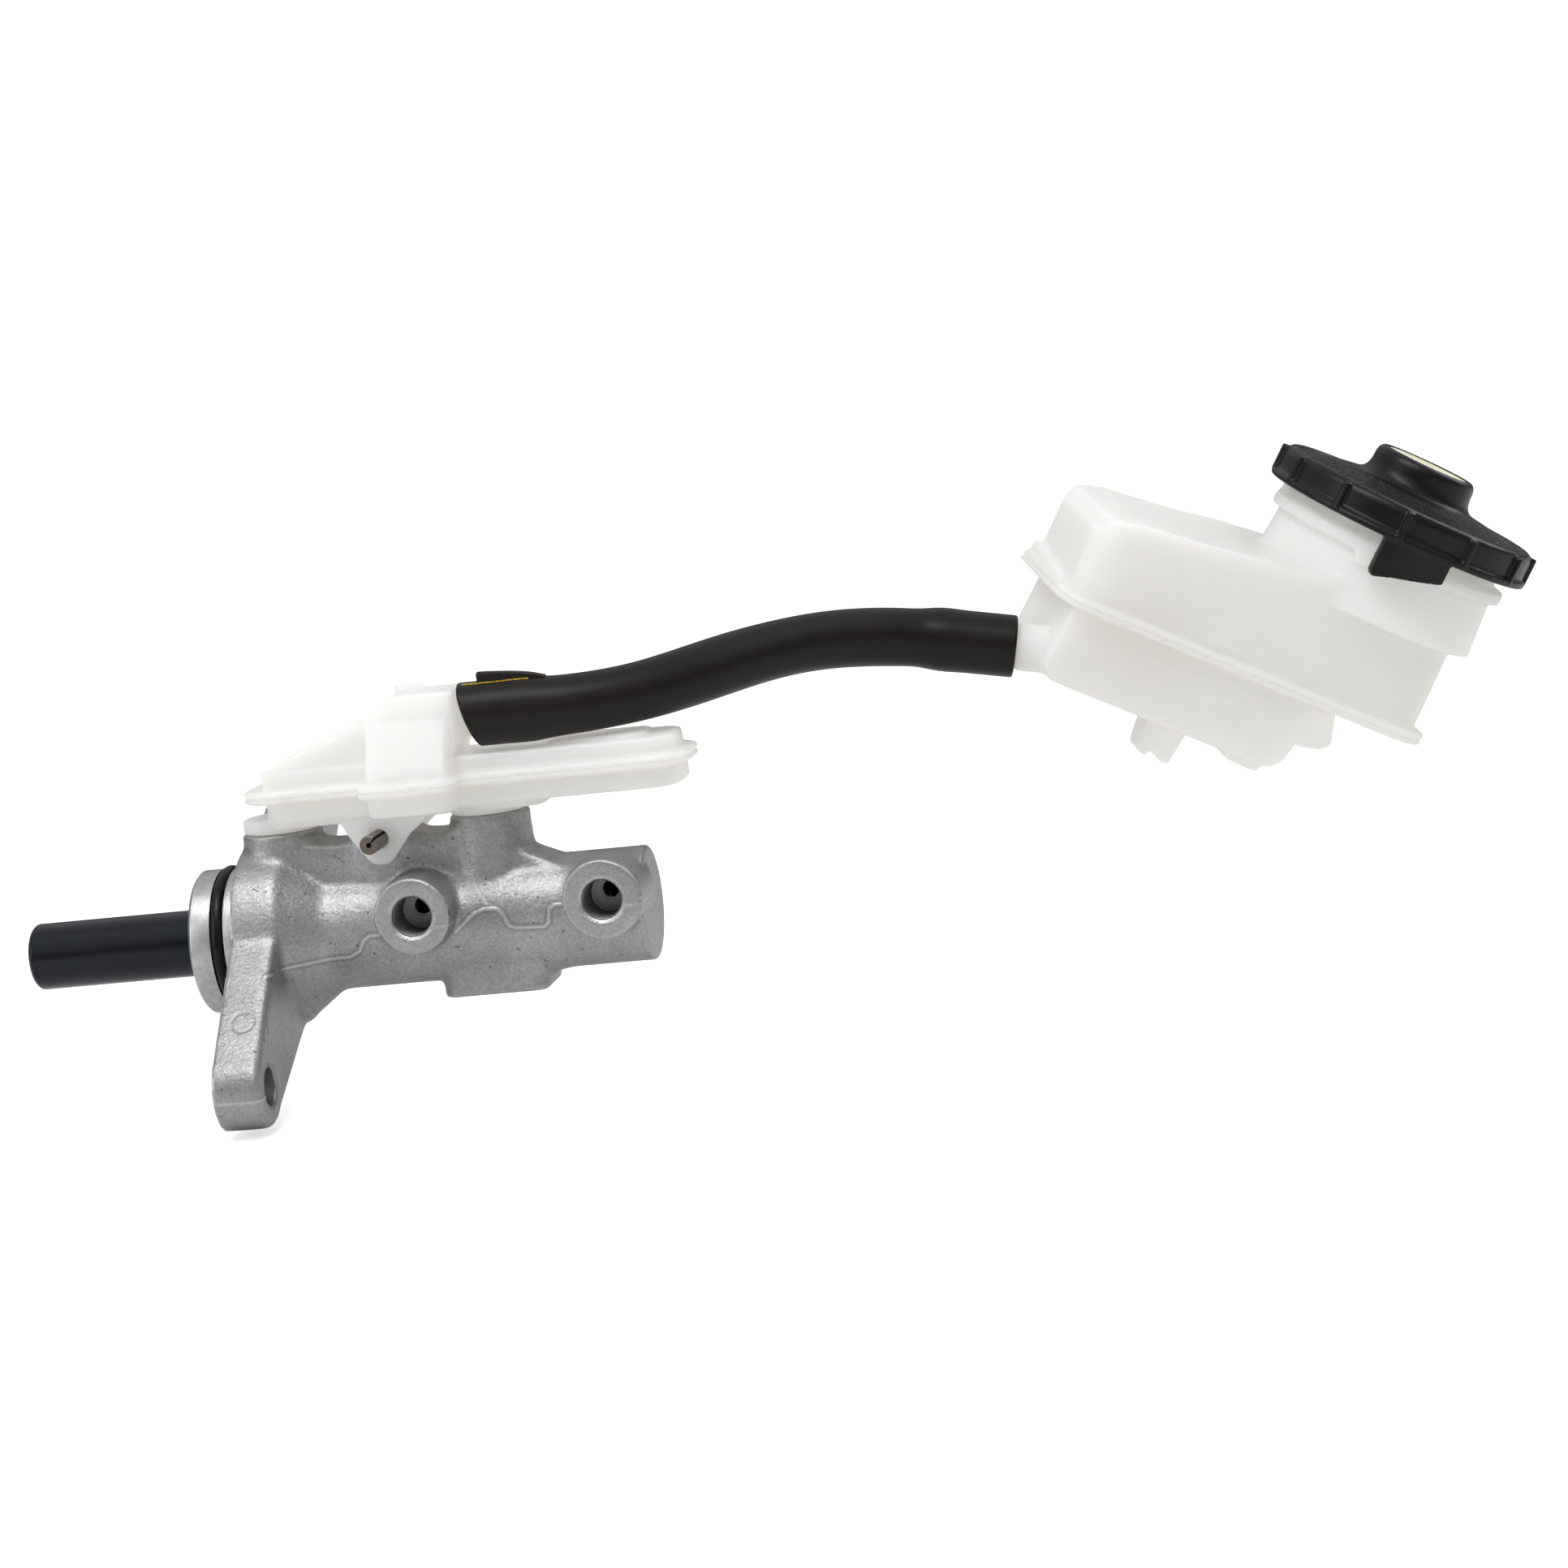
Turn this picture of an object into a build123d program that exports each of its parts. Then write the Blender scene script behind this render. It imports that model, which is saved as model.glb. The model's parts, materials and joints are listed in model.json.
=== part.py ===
"""Tandem brake master cylinder with union tank, supply hose and remote reservoir.

Origin: centre of the booster mounting face, on the bore axis.
+X runs along the bore from the pushrod end (rear) to the closed end (front), +Z is up
towards the reservoir bosses, and the outlet ports face -Y. Millimetres.
The reservoir is tilted and is drawn in its own frame: x along the tank, y away from
the port side, z square to its weld seam.
"""
import os
from math import cos, sin, radians
from build123d import *

os.makedirs("parts", exist_ok=True)

# ---------------------------------------------------------------- shared sizes
# cylinder
BORE_END_X = 92.0
SPIGOT_R = 17.0
GUIDE_BORE_R = 13.0
ORING_GROOVE_X = -6.4
ORING_GROOVE_WIDTH = 3.2
ORING_GROOVE_R = 14.8
BOSS_REAR_X = 9.5
BOSS_FRONT_X = 59.7
BOSS_CENTRES = ((BOSS_REAR_X, 0), (BOSS_FRONT_X, 0))
BOSS_TOP_Z = 25.0
BOSS_BORE_R = 6.6

# roll pin through the cylinder lug and the tank ears
PIN_CENTRE = (35.3, 22.2)  # x, z
PIN_R = 2.2
PIN_HOLE_R = PIN_R + 0.05

# pistons and springs
STEM_R = 7.9
HEAD_R = 10.28
CORE_R = 6.2
CUP_BORE_R = CORE_R + 0.05
NOSE_R = 5.0
NOSE_LENGTH = 3.0
PRIMARY_SHOULDER_X = 16.6
SECONDARY_SHOULDER_X = 65.2
SCREW_HEAD_X = 44.9
SEAT_GAP = 0.1            # piston shoulder to spring seat
SEAT_FLANGE_T = 0.8
SPRING_GAP = 0.05         # at each end of a spring

# union tank
TANK_SEAM_Z = 34.2
TANK_NIPPLE_R = 4.0
WELD_GAP = 0.05           # between the lower and upper shells of both tanks
RIM_T = 1.5
# plates of the weld rim: centre x, centre y, length, width, corner radius
TANK_RIM = ((56.4, 0, 106.0, 29.0, 9.0), (45.6, -10.5, 23.5, 25.0, 5.0))

# hose nipples on the union tank and the reservoir
NIPPLE_Y, NIPPLE_Z = -6.0, 48.5
BARB_R = 5.2
NIPPLE_R = BARB_R - 0.35
NIPPLE_BORE_R = 3.4

# reservoir
RES_ORIGIN = Vector(195.32, 38.61, 57.60)
RES_X = Vector(0.80803349, 0.3390941, -0.48176453).normalized()
RES_Y = Vector(0.51709054, -0.01635143, 0.8557745).cross(RES_X).normalized()
RES_Z = RES_X.cross(RES_Y).normalized()
RES_WALL = 2.2
RES_NEAR_Y = 3.0          # wall on the port side
RES_RIM_LENGTH, RES_RIM_WIDTH = 104.0, 50.0
RES_RIM_RADII = (14.0, 8.0)   # corners at the high-x end, at the low-x end
MARK_SINK, MARK_DEPTH, MARK_WIDTH = 0.35, 0.8, 0.6
CAP_X, CAP_Y = 80.0, 27.0
CAP_LABEL_Z = 60.6
FLOAT_X, FLOAT_Y = 24.0, 22.0


# ---------------------------------------------------------------- planes
def yz(x, y=0.0, z=0.0):
    """Plane across the bore at x, sketch x is Y and sketch y is Z."""
    return Plane(origin=(x, y, z), x_dir=(0, 1, 0), z_dir=(1, 0, 0))


def xz(y):
    """Plane facing the port side at y, sketch x is X and sketch y is Z."""
    return Plane(origin=(0, y, 0), x_dir=(1, 0, 0), z_dir=(0, -1, 0))


def xy(z, x=0.0):
    """Level plane at height z."""
    return Plane(origin=(x, 0, z), x_dir=(1, 0, 0), z_dir=(0, 0, 1))


def res_point(x, y, z):
    """Reservoir coordinates to assembly coordinates."""
    return RES_ORIGIN + RES_X * x + RES_Y * y + RES_Z * z


def res_xy(z, x=0.0, y=0.0):
    """Plane parallel to the reservoir seam at height z."""
    return Plane(origin=res_point(x, y, z), x_dir=RES_X, z_dir=RES_Z)


def res_xz(y, x=0.0):
    """Reservoir side plane facing the port side, sketch x along the tank, sketch y up."""
    return Plane(origin=res_point(x, y, 0), x_dir=RES_X, z_dir=RES_Y * -1)


def cap_xy(z):
    """Plane across the filler axis at height z."""
    return res_xy(z, CAP_X, CAP_Y)


# ---------------------------------------------------------------- modelling helpers
# These act on the builder that is open where they are called.
def cut(amount, taper=0.0):
    """Extrude the pending sketch as a cut."""
    extrude(amount=amount, taper=taper, mode=Mode.SUBTRACT)


def rounded_plates(plates):
    """Add rows of centre x, centre y, length, width, corner radius to the open sketch."""
    for x, y, length, width, corner in plates:
        with Locations((x, y)):
            RectangleRounded(length, width, corner)


def pan_outline(sketch, length, width, radii):
    """Add a rectangle with one corner radius at the high-x end, another at the low-x end."""
    high_x_radius, low_x_radius = radii
    Rectangle(length, width)
    fillet(sketch.vertices().sort_by(Axis.X)[-2:], high_x_radius)
    fillet(sketch.vertices().sort_by(Axis.X)[:2], low_x_radius)


# These build a whole piece.
def turned(profile):
    """Revolve a closed profile of (x, radius) points about the bore axis."""
    with BuildPart() as piece:
        with BuildSketch(Plane.XY):
            with BuildLine():
                Polyline(*profile, close=True)
            make_face()
        revolve(axis=Axis.X)
    return piece.part


def tube(plane, outer_r, inner_r, height):
    with BuildPart() as piece:
        with BuildSketch(plane):
            Circle(outer_r)
            Circle(inner_r, mode=Mode.SUBTRACT)
        extrude(amount=height)
    return piece.part


# ================================================================ cylinder
def cylinder_body():
    bore_r = 10.32        # 13/16 in bore
    body_r, body_end_x = 14.0, 95.8
    end_r, end_start_x = 13.5, 70.0
    spigot_length = 11.8
    flange_t = 11.0
    lug_reach = 98.0 / 2  # half the bolt spacing
    lug_r, bolt_hole_r = 9.5, 4.45
    waist_half = 17.0     # half width of the flange plate on the bore axis
    lug_angle = radians(34.5)  # lug line below horizontal on the port side
    boss_bore_floor_z = 13.0
    port_face_y, port_depth = -21.0, 10.0
    port_core_r = 4.46    # M10 x 1 core
    port_mouth_r = 5.2
    port_z = 4.9
    # x, outer radius
    ports = ((43.3, 9.0), (88.0, 9.3))
    web_width, lug_width = 15.0, 16.8

    def flange_point(along, across):
        """Point in the flange sketch from distances along and across the lug line."""
        return (along * cos(lug_angle) - across * sin(lug_angle),
                along * sin(lug_angle) + across * cos(lug_angle))

    lugs = (flange_point(-lug_reach, 0), flange_point(lug_reach, 0))
    flange_outline = [flange_point(*point) for point in (
        (-lug_reach, -lug_r), (0, -waist_half), (lug_reach, -lug_r),
        (lug_reach, lug_r), (0, waist_half), (-lug_reach, lug_r))]
    # x from the flange face, distance along the lug line
    gusset_edge = [(-0.5, 27), (1.0, 21.5), (3.4, 16.8), (7, 13.8), (11, 12)]
    gusset_outline = [(flange_t + x, y) for x, y in gusset_edge]
    gusset_outline += [(x, -y) for x, y in reversed(gusset_outline)]
    # x, z
    web_outline = [(9, 4), (9, 22.6), (24, 21.6), (28, 22.4), (42.5, 22.4), (46, 21.8),
                   (59, 22.4), (59, 4)]
    rib_outline = [(50, 4), (51.5, 16), (68, 16), (77, 12.0), (77, 4)]

    with BuildPart() as body:
        # flange: oblique two bolt plate
        with BuildSketch(yz(0)):
            with Locations(*lugs):
                Circle(lug_r)
            with BuildLine():
                Polyline(*flange_outline, close=True)
            make_face()
            Circle(21.5)
        extrude(amount=flange_t)
        # conical root on the front of the flange
        with BuildSketch(yz(flange_t - 0.01)):
            Circle(20.5)
        with BuildSketch(yz(flange_t + 9.0)):
            Circle(body_r)
        loft()
        # gussets run from the root out to each lug
        gusset_normal = (0, -sin(lug_angle), cos(lug_angle))
        with BuildSketch(Plane(origin=(0, 0, 0), x_dir=(1, 0, 0), z_dir=gusset_normal)):
            with BuildLine():
                Polyline(*gusset_outline, close=True)
            make_face()
        extrude(amount=5.0, both=True)
        # barrel and end section
        with BuildSketch(yz(2)):
            Circle(body_r)
        extrude(amount=72.0)
        with BuildSketch(yz(end_start_x)):
            Circle(end_r)
        extrude(amount=body_end_x - end_start_x)
        fillet(body.edges().filter_by(GeomType.CIRCLE).group_by(Axis.X)[-1], 0.8)
        # pilot spigot
        with BuildSketch(yz(0)):
            Circle(SPIGOT_R)
        extrude(amount=-spigot_length)
        chamfer(body.edges().filter_by(GeomType.CIRCLE).group_by(Axis.X)[0], 0.8)
        # reservoir bosses, down to z = 2
        with BuildSketch(xy(BOSS_TOP_Z)):
            with Locations(*BOSS_CENTRES):
                Circle(9.4)
        extrude(amount=-BOSS_TOP_Z + 2, taper=-2)
        # web between the bosses and the pin lug standing on it
        with BuildSketch(xz(web_width / 2)):
            with BuildLine():
                Polyline(*web_outline, close=True)
            make_face()
        extrude(amount=web_width)
        with BuildSketch(xz(lug_width / 2)):
            with Locations((PIN_CENTRE[0], 19.0)):
                RectangleRounded(12.6, 14.0, 4.0)
        extrude(amount=lug_width)
        # rib from the barrel to the front boss
        with BuildSketch(xz(web_width / 2)):
            with BuildLine():
                Polyline(*rib_outline, close=True)
            make_face()
        extrude(amount=web_width)
        # flat pad under the barrel
        with BuildSketch(xy(-17.0)):
            with Locations((58.0, 0)):
                RectangleRounded(25.0, 19.0, 3.0)
        extrude(amount=15.0, taper=-3)
        # outlet port bosses
        for port_x, port_boss_r in ports:
            with BuildSketch(xz(port_face_y)):
                with Locations((port_x, port_z)):
                    Circle(port_boss_r)
            extrude(amount=port_face_y + 3)
        # main bore, guide counterbore, retaining ring groove, o-ring groove
        with BuildSketch(yz(-spigot_length - 1)):
            Circle(bore_r)
        cut(BORE_END_X + spigot_length + 1)
        with BuildSketch(yz(-spigot_length - 1)):
            Circle(GUIDE_BORE_R)
        cut(10.8 + 1)
        with BuildSketch(yz(-10.9)):
            Circle(GUIDE_BORE_R + 0.8)
        cut(1.3)
        with BuildSketch(yz(ORING_GROOVE_X)):
            Circle(SPIGOT_R + 3)
            Circle(ORING_GROOVE_R, mode=Mode.SUBTRACT)
        cut(ORING_GROOVE_WIDTH)
        # boss bores, feed holes (large) and breather holes (small)
        with BuildSketch(xy(BOSS_TOP_Z + 1)):
            with Locations(*BOSS_CENTRES):
                Circle(BOSS_BORE_R)
        cut(-(BOSS_TOP_Z + 1 - boss_bore_floor_z))
        with BuildSketch(xy(boss_bore_floor_z + 0.5)):
            with Locations((6.6, 0), (56.6, 0)):
                Circle(2.2)
            with Locations((14.9, 0), (65.2, 0)):
                Circle(0.6)
        cut(-6.0)
        # outlet ports: threaded depth, offset drilling to the bore, mouth chamfer
        with BuildSketch(xz(port_face_y - 1)):
            with Locations(*[(port_x, port_z) for port_x, _ in ports]):
                Circle(port_core_r)
        cut(-(port_depth + 1))
        with BuildSketch(xz(port_face_y + port_depth - 0.5)):
            with Locations(*[(port_x + 0.5, port_z + 0.9) for port_x, _ in ports]):
                Circle(1.9)
        cut(-7.0)
        with BuildSketch(xz(port_face_y)):
            with Locations(*[(port_x, port_z) for port_x, _ in ports]):
                Circle(port_mouth_r)
        cut(-(port_mouth_r - port_core_r), taper=45)
        # mounting bolt holes
        with BuildSketch(yz(-1)):
            with Locations(*lugs):
                Circle(bolt_hole_r)
        cut(flange_t + 4)
        # retaining pin hole
        with BuildSketch(xz(12)):
            with Locations(PIN_CENTRE):
                Circle(PIN_HOLE_R)
        cut(24)
    return body.part


def pilot_o_ring():
    section_r, clearance = 1.42, 0.04
    with BuildPart() as ring:
        with BuildSketch(Plane.XY):
            with Locations((ORING_GROOVE_X + ORING_GROOVE_WIDTH / 2,
                            ORING_GROOVE_R + section_r + clearance)):
                Circle(section_r)
        revolve(axis=Axis.X)
    return ring.part


# ================================================================ rod guide, seal, ring
def rod_guide():
    with BuildPart() as guide:
        with BuildSketch(yz(-9.5)):
            Circle(GUIDE_BORE_R - 0.04)
            Circle(STEM_R + 0.06, mode=Mode.SUBTRACT)
        extrude(amount=8.4)
        # seal pocket in the front face
        with BuildSketch(yz(-3.6)):
            Circle(10.6)
        cut(2.6)
        # shallow recess in the rear face
        with BuildSketch(yz(-9.6)):
            Circle(9.6)
            Circle(STEM_R, mode=Mode.SUBTRACT)
        cut(1.2)
    return guide.part


def rod_seal():
    return turned([
        (-3.55, STEM_R + 0.5), (-3.55, 10.5), (-1.2, 10.5), (-1.2, 9.6), (-2.6, 9.3),
        (-2.2, STEM_R + 1.0), (-1.5, STEM_R + 0.5), (-1.7, STEM_R + 0.04),
        (-2.6, STEM_R + 0.04)])


def guide_retaining_ring():
    """Flat ring with a gap at the bottom."""
    with BuildPart() as ring:
        with BuildSketch(yz(-10.8)):
            Circle(GUIDE_BORE_R + 0.7)
            Circle(11.4, mode=Mode.SUBTRACT)
            with Locations((0, -12.6)):
                Rectangle(7.0, 4.0, mode=Mode.SUBTRACT)
        extrude(amount=1.1)
    return ring.part


# ================================================================ pistons and springs
def primary_piston():
    tip_x, tip_chamfer = -54.6, 0.9
    head_back_x, head_front_x = 0.3, 11.0
    groove_r = 7.4
    socket_r, socket_depth = 5.1, 24.0
    nose_x = PRIMARY_SHOULDER_X + NOSE_LENGTH
    # x, radius
    profile = [
        (tip_x, 0), (tip_x, STEM_R - tip_chamfer), (tip_x + tip_chamfer, STEM_R),
        (head_back_x, STEM_R), (head_back_x, HEAD_R), (3.0, HEAD_R), (3.0, groove_r),
        (8.8, groove_r), (8.8, HEAD_R), (head_front_x, HEAD_R), (head_front_x, CORE_R),
        (PRIMARY_SHOULDER_X, CORE_R), (PRIMARY_SHOULDER_X, NOSE_R), (nose_x, NOSE_R),
        (nose_x, 0)]
    with BuildPart() as piston:
        with BuildSketch(Plane.XY):
            with BuildLine():
                Polyline(*profile, close=True)
            make_face()
        revolve(axis=Axis.X)
        # pushrod socket with a domed floor
        with BuildSketch(yz(tip_x - 0.5)):
            Circle(socket_r)
        cut(socket_depth + 0.5)
        with Locations((tip_x + socket_depth, 0, 0)):
            Sphere(socket_r, mode=Mode.SUBTRACT)
        # blind hole for the spring guide screw
        with BuildSketch(yz(nose_x + 1)):
            Circle(2.6)
        cut(-25.6)
    return piston.part


def secondary_piston():
    back_x = 47.0
    groove_r = 7.0
    nose_x = SECONDARY_SHOULDER_X + NOSE_LENGTH
    return turned([
        (back_x, 0), (back_x, CORE_R), (49.8, CORE_R), (49.8, HEAD_R), (52.4, HEAD_R),
        (52.4, groove_r), (58.4, groove_r), (58.4, HEAD_R), (60.6, HEAD_R), (60.6, CORE_R),
        (SECONDARY_SHOULDER_X, CORE_R), (SECONDARY_SHOULDER_X, NOSE_R), (nose_x, NOSE_R),
        (nose_x, 0)])


def cup(back_x, outer_lip, groove_x, inner_lip_x):
    """Cup seal; outer_lip is the lip x and the radius of its inner edge."""
    lip_x, lip_inner_r, groove_outer_r = outer_lip
    return turned([
        (back_x, CUP_BORE_R), (back_x, 10.1), (lip_x, 10.27), (lip_x, lip_inner_r),
        (groove_x, groove_outer_r), (groove_x, 7.2), (inner_lip_x, 6.8),
        (inner_lip_x, CUP_BORE_R)])


def spring_seat(shoulder_x, end_x):
    """Flanged sleeve on a piston nose, from the piston shoulder to end_x."""
    bore_r, sleeve_r, flange_r = NOSE_R + 0.06, 5.9, 9.6
    back_x = shoulder_x + SEAT_GAP
    flange_front_x = back_x + SEAT_FLANGE_T
    return turned([
        (back_x, bore_r), (back_x, flange_r), (flange_front_x, flange_r),
        (flange_front_x, sleeve_r), (end_x, sleeve_r), (end_x, bore_r)])


def coil_spring(shoulder_x, stop_x, wire_r):
    """Five-turn spring from the seat on a piston shoulder to the face at stop_x."""
    start_x = shoulder_x + SEAT_GAP + SEAT_FLANGE_T + SPRING_GAP
    height = stop_x - SPRING_GAP - start_x - 2 * wire_r
    with BuildPart() as spring:
        with BuildLine() as coil:
            Helix(pitch=height / 5, height=height, radius=7.6,
                  center=(start_x + wire_r, 0, 0), direction=(1, 0, 0))
        with BuildSketch(Plane(origin=coil.wire() @ 0, z_dir=coil.wire() % 0)):
            Circle(wire_r - 0.02)
        sweep(path=coil.wire(), is_frenet=True)
    return spring.part


def spring_guide_screw():
    thread_r, shank_r, head_r = 2.5, 1.9, 9.4
    head_front_x = SCREW_HEAD_X + 2.0
    return turned([
        (13.0, 0), (13.0, thread_r), (15.0, thread_r), (15.0, shank_r),
        (SCREW_HEAD_X, shank_r), (SCREW_HEAD_X, head_r), (head_front_x, head_r),
        (head_front_x, 0)])


def reservoir_seal(boss_x):
    base_z = 14.5
    return tube(xy(base_z, boss_x), BOSS_BORE_R - 0.05, TANK_NIPPLE_R + 0.05,
                BOSS_TOP_Z - base_z)


# ================================================================ union tank
def tank_lower_shell():
    base_z = 28.0
    ear_inner_y, ear_t = 8.7, 2.4
    # centre x, centre y, length, width, corner radius
    walls = ((57.6, 0, 98.6, 24.0, 7.0), (45.6, -10.0, 20.0, 21.0, 4.0))
    hollow = ((57.6, 0, 95.0, 20.4, 5.4), (45.6, -9.0, 16.6, 19.0, 3.0))
    feet = ((31.5, 0, 44.6, 21.0, 4.0), (66.0, 0, 17.8, 21.0, 4.0))
    # x, z
    ear_outline = [(26.5, 27.0), (28.0, 23.5), (32.0, 17.5), (33.5, 16.2), (36.5, 16.0),
                   (38.3, 17.2), (42.5, 22.5), (46.5, 25.5), (47.0, 27.0)]
    with BuildPart() as shell:
        with BuildSketch(xy(base_z)):
            rounded_plates(walls)
        extrude(amount=TANK_SEAM_Z - base_z)
        # weld flange
        with BuildSketch(xy(TANK_SEAM_Z - RIM_T)):
            rounded_plates(TANK_RIM)
        extrude(amount=RIM_T)
        # feet under the floor
        with BuildSketch(xy(26.4)):
            rounded_plates(feet)
        extrude(amount=3.0)
        # collars seated on the bosses
        with BuildSketch(xy(BOSS_TOP_Z + 0.1)):
            with Locations(*BOSS_CENTRES):
                Circle(9.0)
        extrude(amount=3.4)
        # hollow, above a 1.8 mm floor
        with BuildSketch(xy(base_z + 1.8)):
            rounded_plates(hollow)
        cut(8.0)
        # outlet nipples into the seals
        with BuildSketch(xy(15.5)):
            with Locations(*BOSS_CENTRES):
                Circle(TANK_NIPPLE_R)
        extrude(amount=11.5)
        with BuildSketch(xy(15.0)):
            with Locations(*BOSS_CENTRES):
                Circle(2.6)
        cut(15.5)
        # retaining ears on both sides of the pin lug, each extruded towards -Y
        for ear_y in (-ear_inner_y, ear_inner_y + ear_t):
            with BuildSketch(xz(ear_y)):
                with BuildLine():
                    Polyline(*ear_outline, close=True)
                make_face()
            extrude(amount=ear_t)
        with BuildSketch(xz(14)):
            with Locations(PIN_CENTRE):
                Circle(PIN_HOLE_R)
        cut(28)
    return shell.part


def tank_upper_shell():
    base_z = TANK_SEAM_Z + WELD_GAP
    hollow_z = TANK_SEAM_Z - 0.5
    wedge_width = 21.2
    # centre x, centre y, length, width, corner radius
    hollow = ((57.6, 0, 94.4, 19.8, 5.2), (45.6, -9.0, 16.0, 17.6, 3.0))
    # x, z
    wedge = [(9.0, 35.0), (9.0, 40.6), (36.2, 50.4), (36.2, 35.0)]
    block = [(35.4, 35.0), (35.4, 50.2), (41.2, 52.4), (41.2, 55.0), (57.0, 55.0),
             (57.0, 42.6), (55.6, 41.0), (55.6, 35.0)]
    wedge_hollow = [(11.0, 36.0), (11.0, 39.4), (36.0, 48.4), (54.8, 53.0), (54.8, 43.4),
                    (53.6, 41.6), (53.6, 36.0)]
    # y, z
    slope = [(-20.6, base_z), (-20.2, 37.6), (-18.0, 41.4), (-13.2, 49.6), (-5.0, 49.6),
             (-5.0, base_z)]
    slope_hollow = [(-18.2, hollow_z), (-18.0, 37.4), (-16.0, 40.8), (-11.4, 47.4),
                    (-6.0, 47.4), (-6.0, hollow_z)]
    with BuildPart() as shell:
        # weld flange
        with BuildSketch(xy(base_z)):
            rounded_plates(TANK_RIM)
        extrude(amount=RIM_T)
        # low roof along the tank, with a raised pad near the front end
        with BuildSketch(xy(base_z)):
            with Locations((57.6, 0)):
                RectangleRounded(98.0, 23.4, 7.0)
        extrude(amount=5.4, taper=4)
        with BuildSketch(xy(TANK_SEAM_Z + 4.0)):
            with Locations((88.0, 0)):
                RectangleRounded(24.0, 17.0, 5.0)
        extrude(amount=2.4, taper=12)
        # wedge rising to the block that carries the hose outlet
        with BuildSketch(xz(-wedge_width / 2)):
            with BuildLine():
                Polyline(*wedge, close=True)
            make_face()
        extrude(amount=-wedge_width)
        with BuildSketch(xz(-13.2)):
            with BuildLine():
                Polyline(*block, close=True)
            make_face()
        extrude(amount=-19.4)
        # port side of the block slopes out to the flange
        with BuildSketch(yz(36.2)):
            with BuildLine():
                Polyline(*slope, close=True)
            make_face()
        extrude(amount=19.0)
        # upright tab on the +Y side of the block
        with BuildSketch(xz(6.0)):
            with Locations((42.4, 51.0)):
                Rectangle(7.0, 9.6)
        extrude(amount=-1.8)
        # hollow
        with BuildSketch(xy(hollow_z)):
            rounded_plates(hollow)
        cut(4.4)
        with BuildSketch(xz(-8.8)):
            with BuildLine():
                Polyline(*wedge_hollow, close=True)
            make_face()
        cut(-13.4)
        with BuildSketch(yz(38.4)):
            with BuildLine():
                Polyline(*slope_hollow, close=True)
            make_face()
        cut(14.8)
        # hose nipple with one barb
        with BuildSketch(yz(56.5, NIPPLE_Y, NIPPLE_Z)):
            Circle(NIPPLE_R)
        extrude(amount=16.5)
        with BuildSketch(yz(69.5, NIPPLE_Y, NIPPLE_Z)):
            Circle(BARB_R)
        extrude(amount=3.5, taper=8)
        with BuildSketch(yz(54.0, NIPPLE_Y, NIPPLE_Z)):
            Circle(NIPPLE_BORE_R)
        cut(20.0)
    return shell.part


def retaining_pin():
    """Slotted roll pin from y = -20 to y = 12."""
    with BuildPart() as pin:
        with BuildSketch(xz(-20.0)):
            with Locations(PIN_CENTRE):
                Circle(PIN_R)
                Circle(0.6, mode=Mode.SUBTRACT)
                with Locations(Rotation(0, 0, 45)):
                    with Locations((1.5, 0)):
                        Rectangle(2.2, 0.5, mode=Mode.SUBTRACT)
        extrude(amount=-32.0)
    return pin.part


# ================================================================ supply hose
OUTLET_ROOT = res_point(4, 10, -15)   # reservoir outlet nipple
OUTLET_DIR = Vector(-0.9699894, -0.12590471, 0.20801097).normalized()


def outlet_point(distance):
    """Point on the axis of the reservoir outlet nipple."""
    return OUTLET_ROOT + OUTLET_DIR * distance


def outlet_plane(distance):
    """Plane across the reservoir outlet nipple."""
    return Plane(origin=outlet_point(distance), z_dir=OUTLET_DIR)


def supply_hose():
    start_x = 57.35
    bend_start = Vector(74.6, NIPPLE_Y, NIPPLE_Z)
    bend_end = outlet_point(24.0)
    # centre line points x, y, z between the straight ends
    bend_points = [(96.8, 0.9, 49.1), (117.5, 17.2, 52.2), (138.6, 34.7, 53.5),
                   (149.4, 41.5, 52.4)]
    with BuildPart() as hose:
        with BuildLine() as path:
            Line(Vector(start_x, NIPPLE_Y, NIPPLE_Z), bend_start)
            Spline(bend_start, *bend_points, bend_end,
                   tangents=(Vector(1, 0, 0), OUTLET_DIR * -1))
            Line(bend_end, outlet_point(6.6))
        with BuildSketch(yz(start_x, NIPPLE_Y, NIPPLE_Z)):
            Circle(7.6)
            Circle(5.3, mode=Mode.SUBTRACT)
        sweep(path=path.wire())
    return hose.part


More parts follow.
